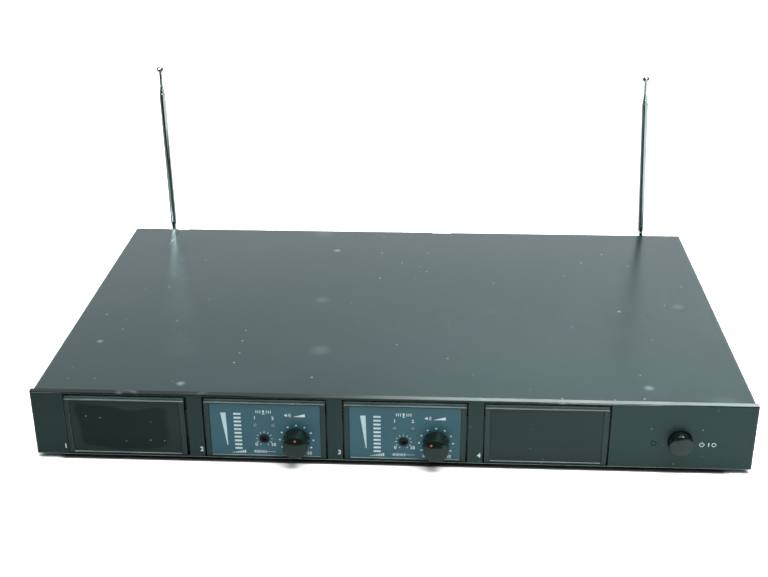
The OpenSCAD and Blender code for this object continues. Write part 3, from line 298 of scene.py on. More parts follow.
# Dust lies on the faces as if they were unrolled, so that no speck is drawn out along a side.
side_slope = 0.7
dust, given, result = surface_group(
    "dust_specks", {"Cells": 60.0, "Share": 0.2, "Size": 0.1, "Bare": -1.0, "Dusty": -0.9}, "Mask")
where = shader_node(dust, "ShaderNodeTexCoord").outputs
at = axes(dust, where["Object"])
over_edge = maths(dust, "ADD", at["Y"], at["Z"])
sideways = maths(dust, "ABSOLUTE", axes(dust, where["Normal"])["X"])
on_side = maths(dust, "GREATER_THAN", sideways, side_slope)
unrolled = shader_node(dust, "ShaderNodeCombineXYZ",
                       {"X": blend_value(dust, at["X"], at["Y"], on_side),
                        "Y": blend_value(dust, over_edge, at["Z"], on_side)})
cells = shader_node(dust, "ShaderNodeTexVoronoi",
                    {"Vector": unrolled.outputs[0], "Scale": given["Cells"]},
                    voronoi_dimensions="2D").outputs
chance = shader_node(dust, "ShaderNodeSeparateColor", {0: cells["Color"]}).outputs
speck_size = product(dust, chance["Green"], given["Size"])
spot = ramp(dust, cells["Distance"], speck_size, 0.0, 0.0, 1.0)
picked = maths(dust, "LESS_THAN", chance["Red"], given["Share"])
gathered = ramp(dust, at["X"], given["Bare"], given["Dusty"], 0.0, 1.0, kind="LINEAR")
feed(dust, result, product(dust, spot, picked, gathered))

rubbed_through = 0.75
scuffs, given, result = surface_group(
    "rubbed_lines", {"Stretch": (8.0, 40.0, 40.0), "Width": 0.02, "Patches": 9.0, "Cover": 0.58}, "Mask")
place = place_on(scuffs)
pulled = vector_maths(scuffs, "MULTIPLY", place, given["Stretch"])
lines = shader_node(scuffs, "ShaderNodeTexVoronoi", {"Vector": pulled, "Scale": 1.0},
                    feature="DISTANCE_TO_EDGE").outputs["Distance"]
line = ramp(scuffs, lines, given["Width"], 0.0, 0.0, 1.0, kind="LINEAR")
patches = shader_node(scuffs, "ShaderNodeTexNoise",
                      {"Vector": place, "Scale": given["Patches"], "Detail": 3.0}).outputs["Fac"]
rubbed = ramp(scuffs, patches, given["Cover"], rubbed_through, 0.0, 1.0, kind="LINEAR")
feed(scuffs, result, product(scuffs, line, rubbed))

cloud_low = 0.2
cloud_high = 0.8
tone, given, result = surface_group("uneven_tone", {"Scale": 6.0, "Low": 0.0, "High": 1.0}, "Value")
cloud = shader_node(tone, "ShaderNodeTexNoise",
                    {"Vector": place_on(tone), "Scale": given["Scale"], "Detail": 5.0, "Roughness": 0.6})
feed(tone, result,
     ramp(tone, cloud.outputs["Fac"], cloud_low, cloud_high, given["Low"], given["High"]))

grain, given, result = surface_group("fine_grain", {"Scale": 1500.0}, "Height")
pits = shader_node(grain, "ShaderNodeTexNoise",
                   {"Vector": place_on(grain), "Scale": given["Scale"], "Detail": 2.0})
feed(grain, result, pits.outputs["Fac"])

gloss_finer = 2.3
grain_depth = 0.0002


def marked(tree, colour, group, marks):
    """The colour with marks of another colour laid over it, for each set of marks."""
    for settings in marks:
        values = dict(settings)
        mark_colour = values.pop("colour")
        strength = values.pop("strength")
        mask = product(tree, place_group(tree, group, values), strength)
        colour = blend_colour(tree, colour, mark_colour, mask)
    return colour


def finish_material(name, dark, pale, mottle, rough, bump, specks=(), rubs=(), **plain):
    """A coated or moulded surface: two close tones in soft patches, roughness that wanders between
    two values, a grain of some scale and strength, and where given specks of dust and rubbed lines."""
    made = bpy.data.materials.new(name)
    made.use_nodes = True
    tree = made.node_tree
    surface = tree.nodes["Principled BSDF"].inputs
    for key, value in plain.items():
        surface[key.replace("_", " ")].default_value = value
    colour = blend_colour(tree, dark, pale, place_group(tree, tone, {"Scale": mottle}))
    colour = marked(tree, colour, scuffs, rubs)
    colour = marked(tree, colour, dust, specks)
    feed(tree, surface["Base Color"], colour)
    gloss = {"Scale": mottle * gloss_finer, "Low": rough[0], "High": rough[1]}
    feed(tree, surface["Roughness"], place_group(tree, tone, gloss))
    height = place_group(tree, grain, {"Scale": bump[0]})
    raised = shader_node(tree, "ShaderNodeBump",
                         {"Strength": bump[1], "Distance": grain_depth, "Height": height})
    feed(tree, surface["Normal"], raised.outputs[0])
    return made


def dress(material, *names):
    for name in names:
        nodes[name].data.materials.clear()
        nodes[name].data.materials.append(material)


# The cover's three sets of specks are faint stains, pale round marks and dust.
teal_shine = (0.72, 1.0, 0.97, 1)
cover_paint = finish_material(
    "cover_paint", dark=(0.022, 0.038, 0.041), pale=(0.029, 0.048, 0.051), mottle=7.0,
    rough=(0.240, 0.268), bump=(1400, 0.10),
    specks=[{"Cells": 11.0, "Share": 0.55, "Size": 0.16, "colour": (0.13, 0.17, 0.17), "strength": 0.4},
            {"Cells": 14.0, "Share": 0.35, "Size": 0.06, "colour": (0.30, 0.37, 0.37), "strength": 0.6},
            {"Cells": 60.0, "Share": 0.16, "Size": 0.07, "colour": (0.40, 0.48, 0.47), "strength": 0.7}],
    Specular_Tint=(0.50, 0.99, 1.0, 1))
dress(cover_paint, "top_cover")
tray_paint = finish_material(
    "tray_paint", dark=(0.012, 0.015, 0.015), pale=(0.018, 0.022, 0.021), mottle=9.0,
    rough=(0.38, 0.48), bump=(1400, 0.15),
    specks=[{"Cells": 90.0, "Share": 0.15, "Size": 0.10, "colour": (0.30, 0.32, 0.31), "strength": 0.4}],
    Specular_Tint=teal_shine)
dress(tray_paint, "chassis_tray", "rear_panel")


# Feet: four round moulded rubber feet, each held under the tray by a plated screw whose head
# sits up inside it.
foot_rubber = finish_material(
    "foot_rubber", dark=(0.012, 0.012, 0.012), pale=(0.022, 0.022, 0.021), mottle=60.0,
    rough=(0.72, 0.86), bump=(2500, 0.35),
    specks=[{"Cells": 400.0, "Share": 0.2, "Size": 0.15, "colour": (0.2, 0.2, 0.19), "strength": 0.4}])
dress(foot_rubber, "rubber_feet")


# Screws: zinc-plated pan heads in the cover's sides, the rear panel, the three-pin socket, the
# feet and the back of the front panel. Those on the case and the socket have a cross recess.
# The volume knobs' shafts are plated in the same way.
screw_zinc = finish_material(
    "screw_zinc", dark=(0.30, 0.30, 0.28), pale=(0.44, 0.43, 0.40), mottle=250.0,
    rough=(0.28, 0.42), bump=(6000, 0.2), Metallic=0.95)
dress(screw_zinc, "foot_screws", "front_panel_screws", "volume_shaft_2", "volume_shaft_3")
recess_reach = 0.0016
recess_half = 0.00032
recess_depth = 0.0011
recess_floor = 0.45
recess_mouth = 1.2
mouth_lift = 0.0004
first_turn = 17
next_turn = 192
screw_crease = 35
weld = 1e-6


def welded_shape(name):
    """The mesh of a node to work on, with its doubled points joined."""
    shape = bmesh.new()
    shape.from_mesh(nodes[name].data)
    bmesh.ops.remove_doubles(shape, verts=shape.verts, dist=weld)
    return shape


def join_rings(shape, first, second):
    """A wall of faces between two rings of as many points."""
    for k in range(len(first)):
        after = (k + 1) % len(first)
        shape.faces.new((first[k], first[after], second[after], second[k]))


def mesh_of_shape(name, shape):
    mesh = bpy.data.meshes.new(name)
    shape.to_mesh(mesh)
    shape.free()
    return mesh


def mesh_of_object(made):
    """The mesh that an object shows, with what its modifiers or its letters make."""
    bpy.context.view_layer.update()
    return bpy.data.meshes.new_from_object(made.evaluated_get(bpy.context.evaluated_depsgraph_get()))


def shade_afresh(mesh, crease):
    """Smooth shading up to a crease angle, in place of the normals that came with the mesh."""
    if "custom_normal" in mesh.attributes:
        mesh.attributes.remove(mesh.attributes["custom_normal"])
    mesh.shade_smooth()
    mesh.set_sharp_from_angle(angle=math.radians(crease))


def fix_piece(name, mesh, body, in_place_of=None):
    """Puts a made mesh on a body, in the place of a node where one is given."""
    piece = bpy.data.objects.new(name, mesh)
    scene.collection.objects.link(piece)
    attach(piece, body)
    if in_place_of:
        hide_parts(in_place_of)


def recess_cutter(heads):
    """A tapered cross for each head, at its own turn; heads are (point, axis)."""
    shape = bmesh.new()
    arm = recess_reach
    thin = recess_half
    cross = [(arm, -thin), (arm, thin), (thin, thin), (thin, arm), (-thin, arm), (-thin, thin),
             (-arm, thin), (-arm, -thin), (-thin, -thin), (-thin, -arm), (thin, -arm), (thin, -thin)]
    for k, (point, axis) in enumerate(heads):
        place = Matrix.Translation(point) @ Vector(axis).to_track_quat("Z", "Y").to_matrix().to_4x4()
        place = place @ Matrix.Rotation(math.radians(first_turn + next_turn * k), 4, "Z")
        rings = []
        for size, lift in ((recess_floor, -recess_depth), (recess_mouth, mouth_lift)):
            rings.append([shape.verts.new(place @ Vector((x * size, y * size, lift))) for x, y in cross])
        floor, mouth = rings
        shape.faces.new(floor[::-1])
        shape.faces.new(mouth)
        join_rings(shape, floor, mouth)
    return mesh_of_shape("recess_cutter", shape)


def recessed_screws(name, heads):
    """A copy of a set of screws with a cross cut into each head."""
    cutter = bpy.data.objects.new("recess_cutter", recess_cutter(heads))
    blank = bpy.data.objects.new("screw_blank", nodes[name].data.copy())
    for spare in (cutter, blank):
        scene.collection.objects.link(spare)
    cutting = blank.modifiers.new("recess", "BOOLEAN")
    cutting.operation = "DIFFERENCE"
    cutting.solver = "EXACT"
    cutting.object = cutter
    mesh = mesh_of_object(blank)
    for spare in (blank, cutter):
        bpy.data.objects.remove(spare)
    mesh.name = name + "_recessed"
    mesh.materials.clear()
    mesh.materials.append(screw_zinc)
    shade_afresh(mesh, screw_crease)
    fix_piece(name + "_recessed", mesh, "casing", in_place_of=name)


def screw_heads(name):
    """The outer middle of each loose screw in a node, with the way that it faces: to the rear, or
    out from its own side of the case."""
    shape = welded_shape(name)
    left = set(shape.verts)
    heads = []
    while left:
        stack = [left.pop()]
        island = []
        while stack:
            vert = stack.pop()
            island.append(vert.co.copy())
            for edge in vert.link_edges:
                other = edge.other_vert(vert)
                if other in left:
                    left.remove(other)
                    stack.append(other)
        low = Vector(min(co[k] for co in island) for k in range(3))
        high = Vector(max(co[k] for co in island) for k in range(3))
        middle = (low + high) / 2
        along = max(range(3), key=lambda k: high[k] - low[k])
        sign = 1 if along == 1 or middle.x > 0 else -1
        axis = Vector((0, 0, 0))
        axis[along] = sign
        middle[along] = high[along] if sign > 0 else low[along]
        heads.append((middle, axis))
    shape.free()
    return sorted(heads, key=lambda head: tuple(head[0]))


for name in ("case_screws", "xlr_screws"):
    recessed_screws(name, screw_heads(name))


# Front panel: a dark grey moulding with a fine grain, screwed to the front of the tray, with a
# polished top edge, rubbed edges round its windows and a painted highlight, with rubbed lines, on
# its lower lip. White numbers are printed beside the bays, and an on sign by the button.
eased_from = 35
eased_crease = 40
flat_join = 1
flat_face = 0.9995


def eased_copy(name, width, body, materials, part_of=lambda face: None):
    """The same piece with its sharp edges rounded; the rounded strips take the second material, and
    part_of gives the number of the material for any face that has another, or None."""
    shape = welded_shape(name)
    bmesh.ops.dissolve_limit(
        shape, angle_limit=math.radians(flat_join), verts=shape.verts, edges=shape.edges)
    limit = math.radians(eased_from)
    sharp = [e for e in shape.edges if len(e.link_faces) == 2 and e.calc_face_angle() > limit]
    bmesh.ops.bevel(shape, geom=sharp, offset=width, segments=2, profile=0.5, affect="EDGES",
                    clamp_overlap=True, material=1)
    bmesh.ops.triangulate(shape, faces=[f for f in shape.faces if len(f.verts) > 4])
    shape.normal_update()
    for face in shape.faces:
        other = part_of(face)
        if other is not None:
            face.material_index = other
    mesh = mesh_of_shape(name + "_eased", shape)
    shade_afresh(mesh, eased_crease)
    for face in mesh.polygons:
        face.use_smooth = max(abs(c) for c in face.normal) < flat_face
    for material in materials:
        mesh.materials.append(material)
    fix_piece(name + "_eased", mesh, body, in_place_of=name)


panel_plastic = finish_material(
    "panel_plastic", dark=(0.016, 0.029, 0.028), pale=(0.023, 0.037, 0.036), mottle=8.0,
    rough=(0.34, 0.42), bump=(2200, 0.22),
    specks=[{"Cells": 130.0, "Share": 0.34, "Size": 0.09, "Bare": -0.05, "Dusty": 0.14,
             "colour": (0.50, 0.60, 0.56), "strength": 0.8}],
    Specular_Tint=(0.56, 1.0, 0.97, 1))
panel_edge = finish_material(
    "panel_edge", dark=(0.024, 0.036, 0.035), pale=(0.055, 0.074, 0.071), mottle=60.0,
    rough=(0.28, 0.40), bump=(2200, 0.15),
    rubs=[{"Stretch": (60.0, 60.0, 60.0), "Width": 0.10, "Patches": 45.0, "Cover": 0.54,
           "colour": (0.42, 0.48, 0.45), "strength": 0.8}],
    Specular_Tint=teal_shine)
panel_top = finish_material(
    "panel_top", dark=(0.008, 0.014, 0.013), pale=(0.012, 0.019, 0.018), mottle=14.0,
    rough=(0.04, 0.06), bump=(30, 0.002),
    rubs=[{"Stretch": (45.0, 60.0, 60.0), "Width": 0.12, "Patches": 30.0, "Cover": 0.60,
           "colour": (0.30, 0.36, 0.34), "strength": 0.6}],
    Specular_Tint=(0.88, 1.0, 0.99, 1), Specular_IOR_Level=0.28)
# The lip's pale colour is a painted highlight along the panel's lower edge; rubbed lines lie over it.
lip_highlight_and_wear = finish_material(
    "lip_highlight_and_wear", dark=(0.26, 0.34, 0.33), pale=(0.44, 0.54, 0.53), mottle=40.0,
    rough=(0.28, 0.36), bump=(2200, 0.1),
    rubs=[{"Stretch": (30.0, 60.0, 60.0), "Width": 0.15, "Patches": 24.0, "Cover": 0.52,
           "colour": (0.60, 0.68, 0.66), "strength": 0.7}],
    Specular_Tint=teal_shine)
panel_round = 0.00025
case_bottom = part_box("front_panel")[0].z
top_slope = 0.6
lip_down = -0.15
lip_forward = -0.05
lip_height = 0.0009


def panel_part(face):
    """The top edge takes the third material, and the front of the lower lip the fourth, its painted
    highlight.
    """
    if face.normal.z > top_slope:
        return 2
    low_lip = face.normal.z < lip_down and face.normal.y < lip_forward
    return 3 if low_lip and face.calc_center_median().z < case_bottom + lip_height else None


eased_copy("front_panel", panel_round, "casing",
           (panel_plastic, panel_edge, panel_top, lip_highlight_and_wear), panel_part)

print_lift = 0.00003
digit_share = 0.70
digit_bolder = 0.035
arc_sides = 16
cap_sides = 12
dot_sides = 20


def number_outline(text, height):
    """A printed number as flat triangles about its own middle, height metres tall."""
    curve = bpy.data.curves.new("number", "FONT")
    curve.body = text
    curve.size = height / digit_share
    curve.offset = digit_bolder * height
    curve.align_x = "CENTER"
    holder = bpy.data.objects.new("number", curve)
    scene.collection.objects.link(holder)
    mesh = mesh_of_object(holder)
    bpy.data.objects.remove(holder)
    bpy.data.curves.remove(curve)
    return mesh


def face_forward(shape):
    """Turns every face of a thin shape to the front."""
    bmesh.ops.recalc_face_normals(shape, faces=shape.faces)
    for face in shape.faces:
        if face.normal.y > 0:
            face.normal_flip()


def printed_marks(name, face_y, shapes, numbers, material):
    """Marks printed on an upright face: shapes are lists of (x, z) points in metres, and numbers are
    (text, x, z, height), where z is the foot of the number."""
    shape = bmesh.new()
    ink_y = face_y - print_lift
    for points in shapes:
        shape.faces.new([shape.verts.new((x, ink_y, z)) for x, z in points])
    for text, x, z, height in numbers:
        mesh = number_outline(text, height)
        mesh.transform(Matrix.Translation((x, ink_y, z)) @ Matrix.Rotation(math.pi / 2, 4, "X"))
        shape.from_mesh(mesh)
        bpy.data.meshes.remove(mesh)
    face_forward(shape)
    mesh = mesh_of_shape(name, shape)
    mesh.materials.clear()
    mesh.materials.append(material)
    fix_piece(name, mesh, "casing")


def ring_points(x, z, radius, start, end, sides):
    """Points on a circle, by degrees clockwise from straight up."""
    turns = [math.radians(start + (end - start) * k / sides) for k in range(sides + 1)]
    return [(x + radius * math.sin(a), z + radius * math.cos(a)) for a in turns]


def round_dot(x, z, radius):
    return ring_points(x, z, radius, 0, 360 - 360 / dot_sides, dot_sides - 1)


def long_dot(x, z, radius, length):
    """An upright dot with round ends, the lower one about x and z."""
    upper = ring_points(x, z + length, radius, -90, 90, cap_sides)
    return upper + ring_points(x, z, radius, 90, 270, cap_sides)


def curved_bar(x, z, radius, width, start, end):
    outer = ring_points(x, z, radius + width / 2, start, end, arc_sides)
    inner = ring_points(x, z, radius - width / 2, start, end, arc_sides)
    return outer + inner[::-1]


def box_mark(x, z, width, height):
    aside = width / 2
    above = height / 2
    return [(x - aside, z - above), (x + aside, z - above), (x + aside, z + above), (x - aside, z + above)]


def moved(outline, x, z):
    return [(x + aside, z + above) for aside, above in outline]


panel_ink = finish_material(
    "panel_ink", dark=(0.78, 0.93, 0.94), pale=(0.86, 0.98, 0.98), mottle=300.0,
    rough=(0.45, 0.6), bump=(3000, 0.1))
panel_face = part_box("front_panel")[0].y
sign_x = 0.1858
sign_z = case_bottom + 0.0171
sign_line = 0.00045
stroke_x = sign_x + 0.0040
circle_x = sign_x + 0.0071
on_sign = [curved_bar(sign_x, sign_z, 0.0013, sign_line, 35, 325),
           box_mark(sign_x, sign_z + 0.0011, sign_line, 0.0016),
           box_mark(stroke_x, sign_z, 0.0005, 0.0028),
           curved_bar(circle_x, sign_z, 0.0012, sign_line, 1, 359)]
number_foot = case_bottom + 0.0046
number_height = 0.0030
bay_x = {"1": -0.1985, "2": -0.1143, "3": -0.0302, "4": 0.0540}
bay_numbers = [(bay, x, number_foot, number_height) for bay, x in bay_x.items()]
printed_marks("panel_print", panel_face, on_sign, bay_numbers, panel_ink)


# Plates: a moulded frame with a set-back band at its top hangs in each bay window. Its rounded
# edges are rubbed bright where plates have been pushed in and out, and carry a painted highlight
# as well. Its upward faces, the ledge among them, are a painted highlight with rubbed lines, and
# the band is painted light, paler against the shade under the window top.
plate_plastic = finish_material(
    "plate_plastic", dark=(0.017, 0.037, 0.037), pale=(0.025, 0.049, 0.049), mottle=14.0,
    rough=(0.34, 0.44), bump=(2200, 0.2),
    specks=[{"Cells": 120.0, "Share": 0.14, "Size": 0.12, "colour": (0.40, 0.46, 0.42), "strength": 0.5}],
    Specular_Tint=teal_shine)
# The rounded edges: rubbed wear and a painted highlight.
plate_edge_wear_and_highlight = finish_material(
    "plate_edge_wear_and_highlight", dark=(0.045, 0.070, 0.070), pale=(0.095, 0.135, 0.134), mottle=90.0,
    rough=(0.28, 0.38), bump=(2200, 0.12),
    rubs=[{"Stretch": (50.0, 80.0, 80.0), "Width": 0.16, "Patches": 35.0, "Cover": 0.54,
           "colour": (0.50, 0.58, 0.53), "strength": 0.8}])
# The upward faces: a painted highlight, with rubbed lines over it.
ledge_highlight_and_wear = finish_material(
    "ledge_highlight_and_wear", dark=(0.38, 0.50, 0.50), pale=(0.66, 0.82, 0.82), mottle=40.0,
    rough=(0.28, 0.38), bump=(2200, 0.12),
    rubs=[{"Stretch": (40.0, 80.0, 80.0), "Width": 0.20, "Patches": 28.0, "Cover": 0.46,
           "colour": (0.80, 0.86, 0.83), "strength": 0.9}])
# The set-back band: painted light, paler than the plate where it lies in shade.
band_painted_light = finish_material(
    "band_painted_light", dark=(0.12, 0.19, 0.18), pale=(0.17, 0.25, 0.24), mottle=20.0,
    rough=(0.34, 0.44), bump=(2200, 0.2), Specular_Tint=teal_shine)
plate_round = 0.0002
plate_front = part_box("module_plate_2")[0].y
band_from = 0.0012
band_height = 0.035
squarely = 0.9


def plate_part(face):
    """Upward faces take the third material, a painted highlight, and the set-back band the fourth, painted
    light.
    """
    if face.normal.z > squarely:
        return 2
    middle = face.calc_center_median()
    set_back = middle.y > plate_front + band_from
    high = middle.z > case_bottom + band_height
    return 3 if face.normal.y < -squarely and set_back and high else None


for name in ("blank_plate_1", "module_plate_2", "module_plate_3", "blank_plate_4"):
    eased_copy(name, plate_round, "casing",
               (plate_plastic, plate_edge_wear_and_highlight, ledge_highlight_and_wear, band_painted_light), plate_part)


# Sheets set into the plates: a plain dark film in the two empty bays, the left one shinier and a
# little wavy with a painted sheen near its edges, and a blue-grey printed film in the two modules.
# The mask of a painted sheen: paler near the edges of a sheet, in soft waves, standing in for a reflection.
corner_round = 0.25
wave_share = 0.9
sheen_from = 1.14
sheen_full = 1.30
painted_sheen, given, result = surface_group(
    "painted_edge_sheen", {"Middle": (0.0, 0.0, 0.0), "Reach": (1.0, 0.0, 1.0), "Waves": 30.0}, "Mask")
place = place_on(painted_sheen)
offset = vector_maths(painted_sheen, "SUBTRACT", place, given["Middle"])
spread = vector_maths(painted_sheen, "DIVIDE", offset, given["Reach"])
sides = axes(painted_sheen, vector_maths(painted_sheen, "ABSOLUTE", spread))
reach = maths(painted_sheen, "SMOOTH_MAX", sides["X"], sides["Z"], corner_round)
swell = shader_node(painted_sheen, "ShaderNodeTexNoise",
                    {"Vector": place, "Scale": given["Waves"], "Detail": 1.0}).outputs["Fac"]
bent = maths(painted_sheen, "MULTIPLY_ADD", swell, wave_share, reach)
feed(painted_sheen, result, ramp(painted_sheen, bent, sheen_from, sheen_full, 0.0, 1.0))


def lay_over(material, colour, group, values):
    """Lays one more colour over a finished material, where a group's mask says."""
    tree = material.node_tree
    base = tree.nodes["Principled BSDF"].inputs["Base Color"]
    mask = place_group(tree, group, values)
    feed(tree, base, blend_colour(tree, base.links[0].from_socket, colour, mask))


sheet_with_painted_sheen = finish_material(
    "sheet_with_painted_sheen", dark=(0.005, 0.014, 0.012), pale=(0.008, 0.018, 0.015), mottle=20.0,
    rough=(0.20, 0.265), bump=(45, 0.2),
    specks=[{"Cells": 130.0, "Share": 0.20, "Size": 0.09, "colour": (0.46, 0.54, 0.50), "strength": 0.7}],
    Specular_Tint=teal_shine, Specular_IOR_Level=0.32)
# The left film's paler colour near its edges is a painted sheen.
painted_sheen_grey = (0.021, 0.034, 0.031)
low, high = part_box("blank_overlay_1")
half = (high - low) / 2
lay_over(sheet_with_painted_sheen, painted_sheen_grey, painted_sheen, {"Middle": (low + high) / 2, "Reach": (half.x, 1.0, half.z)})
dress(sheet_with_painted_sheen, "blank_overlay_1")
plain_sheet = finish_material(
    "plain_sheet", dark=(0.013, 0.025, 0.027), pale=(0.017, 0.030, 0.032), mottle=16.0,
    rough=(0.42, 0.52), bump=(2600, 0.2),
    specks=[{"Cells": 130.0, "Share": 0.08, "Size": 0.07, "colour": (0.34, 0.42, 0.40), "strength": 0.6}],
    Specular_Tint=teal_shine)
dress(plain_sheet, "blank_overlay_4")
module_sheet = finish_material(
    "module_sheet", dark=(0.029, 0.130, 0.172), pale=(0.036, 0.148, 0.192), mottle=30.0,
    rough=(0.34, 0.44), bump=(2600, 0.12),
    specks=[{"Cells": 160.0, "Share": 0.10, "Size": 0.06, "colour": (0.42, 0.55, 0.56), "strength": 0.5}])
dress(module_sheet, "module_overlay_2", "module_overlay_3")

# The print on a module: outlines are (aside, above), from the middle of the film and the foot of
# the panel for the tall wedge, and from the speaker's mouth for the horn and the rising wedge.
module_ink = finish_material(
    "module_ink", dark=(0.54, 0.79, 0.84), pale=(0.66, 0.88, 0.92), mottle=300.0,
    rough=(0.45, 0.6), bump=(3000, 0.1))
joint_at = {joint["name"]: Vector(joint["pos_m"]) for joint in frame["joints"] if "pos_m" in joint}
wedge = ((-0.0269, 0.0314), (-0.0236, 0.0315), (-0.0232, 0.0087), (-0.0237, 0.0087))
horn = ((-0.0016, -0.0005), (-0.0008, -0.0005), (0.0, -0.0012),
        (0.0, 0.0012), (-0.0008, 0.0005), (-0.0016, 0.0005))
rising = ((0.0034, -0.0010), (0.0108, -0.0010), (0.0108, 0.0011))
horn_waves = (0.0011, 0.0020)
mic_waves = ((0.0020, 30), (0.0032, 18), (0.0044, 13))
dial_step = 30
dial_radius = 0.0102
dial_dot = 0.00058
tick_corners = ((0.0042, -0.0002), (0.0042, 0.0002), (0.0050, 0.0002), (0.0050, -0.0002))
print_line = 0.0004
lights_left = 0.0008
lights_half = 0.00545
speaker_left = 0.0052
speaker_above = 0.0304
mic_above = 0.0325
mic_radius = 0.0006
mic_length = 0.0005
stem_down = 0.0011
stem_height = 0.0008
base_down = 0.0015
base_width = 0.0018
step_bars = 8
steps_middle = -0.0168
steps_foot = 0.0034
step_pitch = 0.0011
step_width = 0.0007
step_rise = 0.00026
wave_pitch = 0.0005
wave_middle = 0.0046
wave_width = 0.00028
wave_low = 0.0004
wave_high = 0.0018
wave_beat = 1.9
wave_quiet = 3
small_print = 0.0021
volume_foot = 0.0031
squelch_foot = 0.0087
lights_foot = 0.0272
for bay in (2, 3):
    low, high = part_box(f"module_overlay_{bay}")
    middle = (low.x + high.x) / 2
    volume = joint_at[f"volume_{bay}_turn"]
    squelch = joint_at[f"squelch_{bay}_turn"]
    lights_at = middle - lights_left
    printed_marks(f"level_wedge_{bay}", low.y, [moved(wedge, middle, case_bottom)], [],
                  module_ink)
    shapes = []
    for step in range(-5, 6):
        angle = math.radians(dial_step * step)
        outward = Vector((math.sin(angle), 0, math.cos(angle)))
        sidelong = Vector((math.cos(angle), 0, -math.sin(angle)))
        dot = volume + dial_radius * outward
        shapes.append(round_dot(dot.x, dot.z, dial_dot))
        corners = [squelch + out * outward + off * sidelong for out, off in tick_corners]
        shapes.append([(corner.x, corner.z) for corner in corners])
    speaker = (volume.x - speaker_left, case_bottom + speaker_above)
    shapes.append(moved(horn, *speaker))
    shapes += [curved_bar(*speaker, radius, print_line, 50, 130) for radius in horn_waves]
    shapes.append(moved(rising, *speaker))
    mic = (lights_at, case_bottom + mic_above)
    shapes += [long_dot(*mic, mic_radius, mic_length),
               box_mark(mic[0], mic[1] - stem_down, print_line, stem_height),
               box_mark(mic[0], mic[1] - base_down, base_width, print_line)]
    for radius, spread in mic_waves:
        shapes += [curved_bar(*mic, radius, print_line, side - spread, side + spread) for side in (90, 270)]
    for k in range(step_bars):
        tall = step_rise * (k + 1)
        bar_x = middle + steps_middle + step_pitch * (k - (step_bars - 1) / 2)
        shapes.append(box_mark(bar_x, case_bottom + steps_foot + tall / 2, step_width, tall))
    for k in range(-13, 14):
        swing = wave_high * abs(math.sin(wave_beat * k)) if k < wave_quiet else 0
        shapes.append(box_mark(squelch.x + wave_pitch * k, case_bottom + wave_middle, wave_width,
                               wave_low + swing))
    labels = (("0", volume.x - 0.0073, volume_foot), ("10", volume.x + 0.0076, volume_foot),
              ("0", squelch.x - 0.0049, squelch_foot), ("10", squelch.x + 0.0054, squelch_foot),
              ("1", lights_at - lights_half, lights_foot), ("2", lights_at + lights_half, lights_foot))
    numbers = [(text, x, case_bottom + above, small_print) for text, x, above in labels]
    printed_marks(f"module_print_{bay}", low.y, shapes, numbers, panel_ink)


# Lights: pale light bars and frosted round lenses that stand just proud of the printed film,
# and a dark lens beside the power button.
bar_lens = finish_material(
    "bar_lens", dark=(0.58, 0.84, 0.84), pale=(0.74, 0.95, 0.94), mottle=400.0,
    rough=(0.30, 0.42), bump=(3500, 0.2), Subsurface_Weight=0.15, Subsurface_Scale=0.001)
dress(bar_lens, "level_leds_2", "level_leds_3")
signal_lens = finish_material(
    "signal_lens", dark=(0.090, 0.190, 0.225), pale=(0.200, 0.330, 0.370), mottle=900.0,
    rough=(0.28, 0.40), bump=(1800, 0.6))
dress(signal_lens, "mic_leds_2", "mic_leds_3")
power_lens = finish_material(
    "power_lens", dark=(0.018, 0.034, 0.033), pale=(0.026, 0.042, 0.041), mottle=700.0,
    rough=(0.20, 0.26), bump=(2500, 0.1), Specular_Tint=teal_shine)
dress(power_lens, "power_led")


# Boards and controls inside the case: green laminate, tinned shield cans, pressed steel and
# blue moulded potentiometers, a dark switch and white nylon spacers.
board_laminate = finish_material(
    "board_laminate", dark=(0.020, 0.090, 0.040), pale=(0.035, 0.125, 0.055), mottle=120.0,
    rough=(0.32, 0.45), bump=(900, 0.3))
dress(board_laminate, "display_boards", "module_boards", "switch_board", "main_board")
shield_tin = finish_material(
    "shield_tin", dark=(0.50, 0.50, 0.48), pale=(0.62, 0.62, 0.60), mottle=40.0,
    rough=(0.25, 0.38), bump=(3000, 0.1), Metallic=1.0)
dress(shield_tin, "shield_cans", "volume_pots")
trimmer_blue = finish_material(
    "trimmer_blue", dark=(0.030, 0.070, 0.26), pale=(0.045, 0.095, 0.32), mottle=200.0,
    rough=(0.35, 0.45), bump=(3000, 0.15))
dress(trimmer_blue, "squelch_pots")
switch_plastic = finish_material(
    "switch_plastic", dark=(0.045, 0.045, 0.045), pale=(0.065, 0.065, 0.063), mottle=150.0,
    rough=(0.40, 0.52), bump=(3000, 0.15))
dress(switch_plastic, "power_switch")
spacer_nylon = finish_material(
    "spacer_nylon", dark=(0.62, 0.62, 0.57), pale=(0.74, 0.74, 0.69), mottle=150.0,
    rough=(0.40, 0.52), bump=(3000, 0.15))
dress(spacer_nylon, "board_spacers")


# Volume knobs: polished black mouldings with a domed front, pushed on the flat of the shaft,
# with a red dot on the dome as a pointer.
knob_black = finish_material(
    "knob_black", dark=(0.006, 0.013, 0.010), pale=(0.010, 0.018, 0.014), mottle=60.0,
    rough=(0.10, 0.14), bump=(900, 0.03),
    rubs=[{"Stretch": (260.0, 260.0, 260.0), "Width": 0.012, "Patches": 120.0, "Cover": 0.56,
           "colour": (0.09, 0.11, 0.10), "strength": 0.5}],
    Specular_Tint=teal_shine)
dress(knob_black, "volume_knob_2", "volume_knob_3")
pointer_red = finish_material(
    "pointer_red", dark=(0.52, 0.075, 0.055), pale=(0.66, 0.13, 0.10), mottle=800.0,
    rough=(0.30, 0.42), bump=(3000, 0.1))
dome_rise = 0.0017
dome_radius = 0.00735
dome_curve = (dome_radius ** 2 + dome_rise ** 2) / (2 * dome_rise)
dot_out = 0.0054
dot_rings = ((0.00068, 0.0), (0.00055, 0.00008), (0.0002, 0.00012))
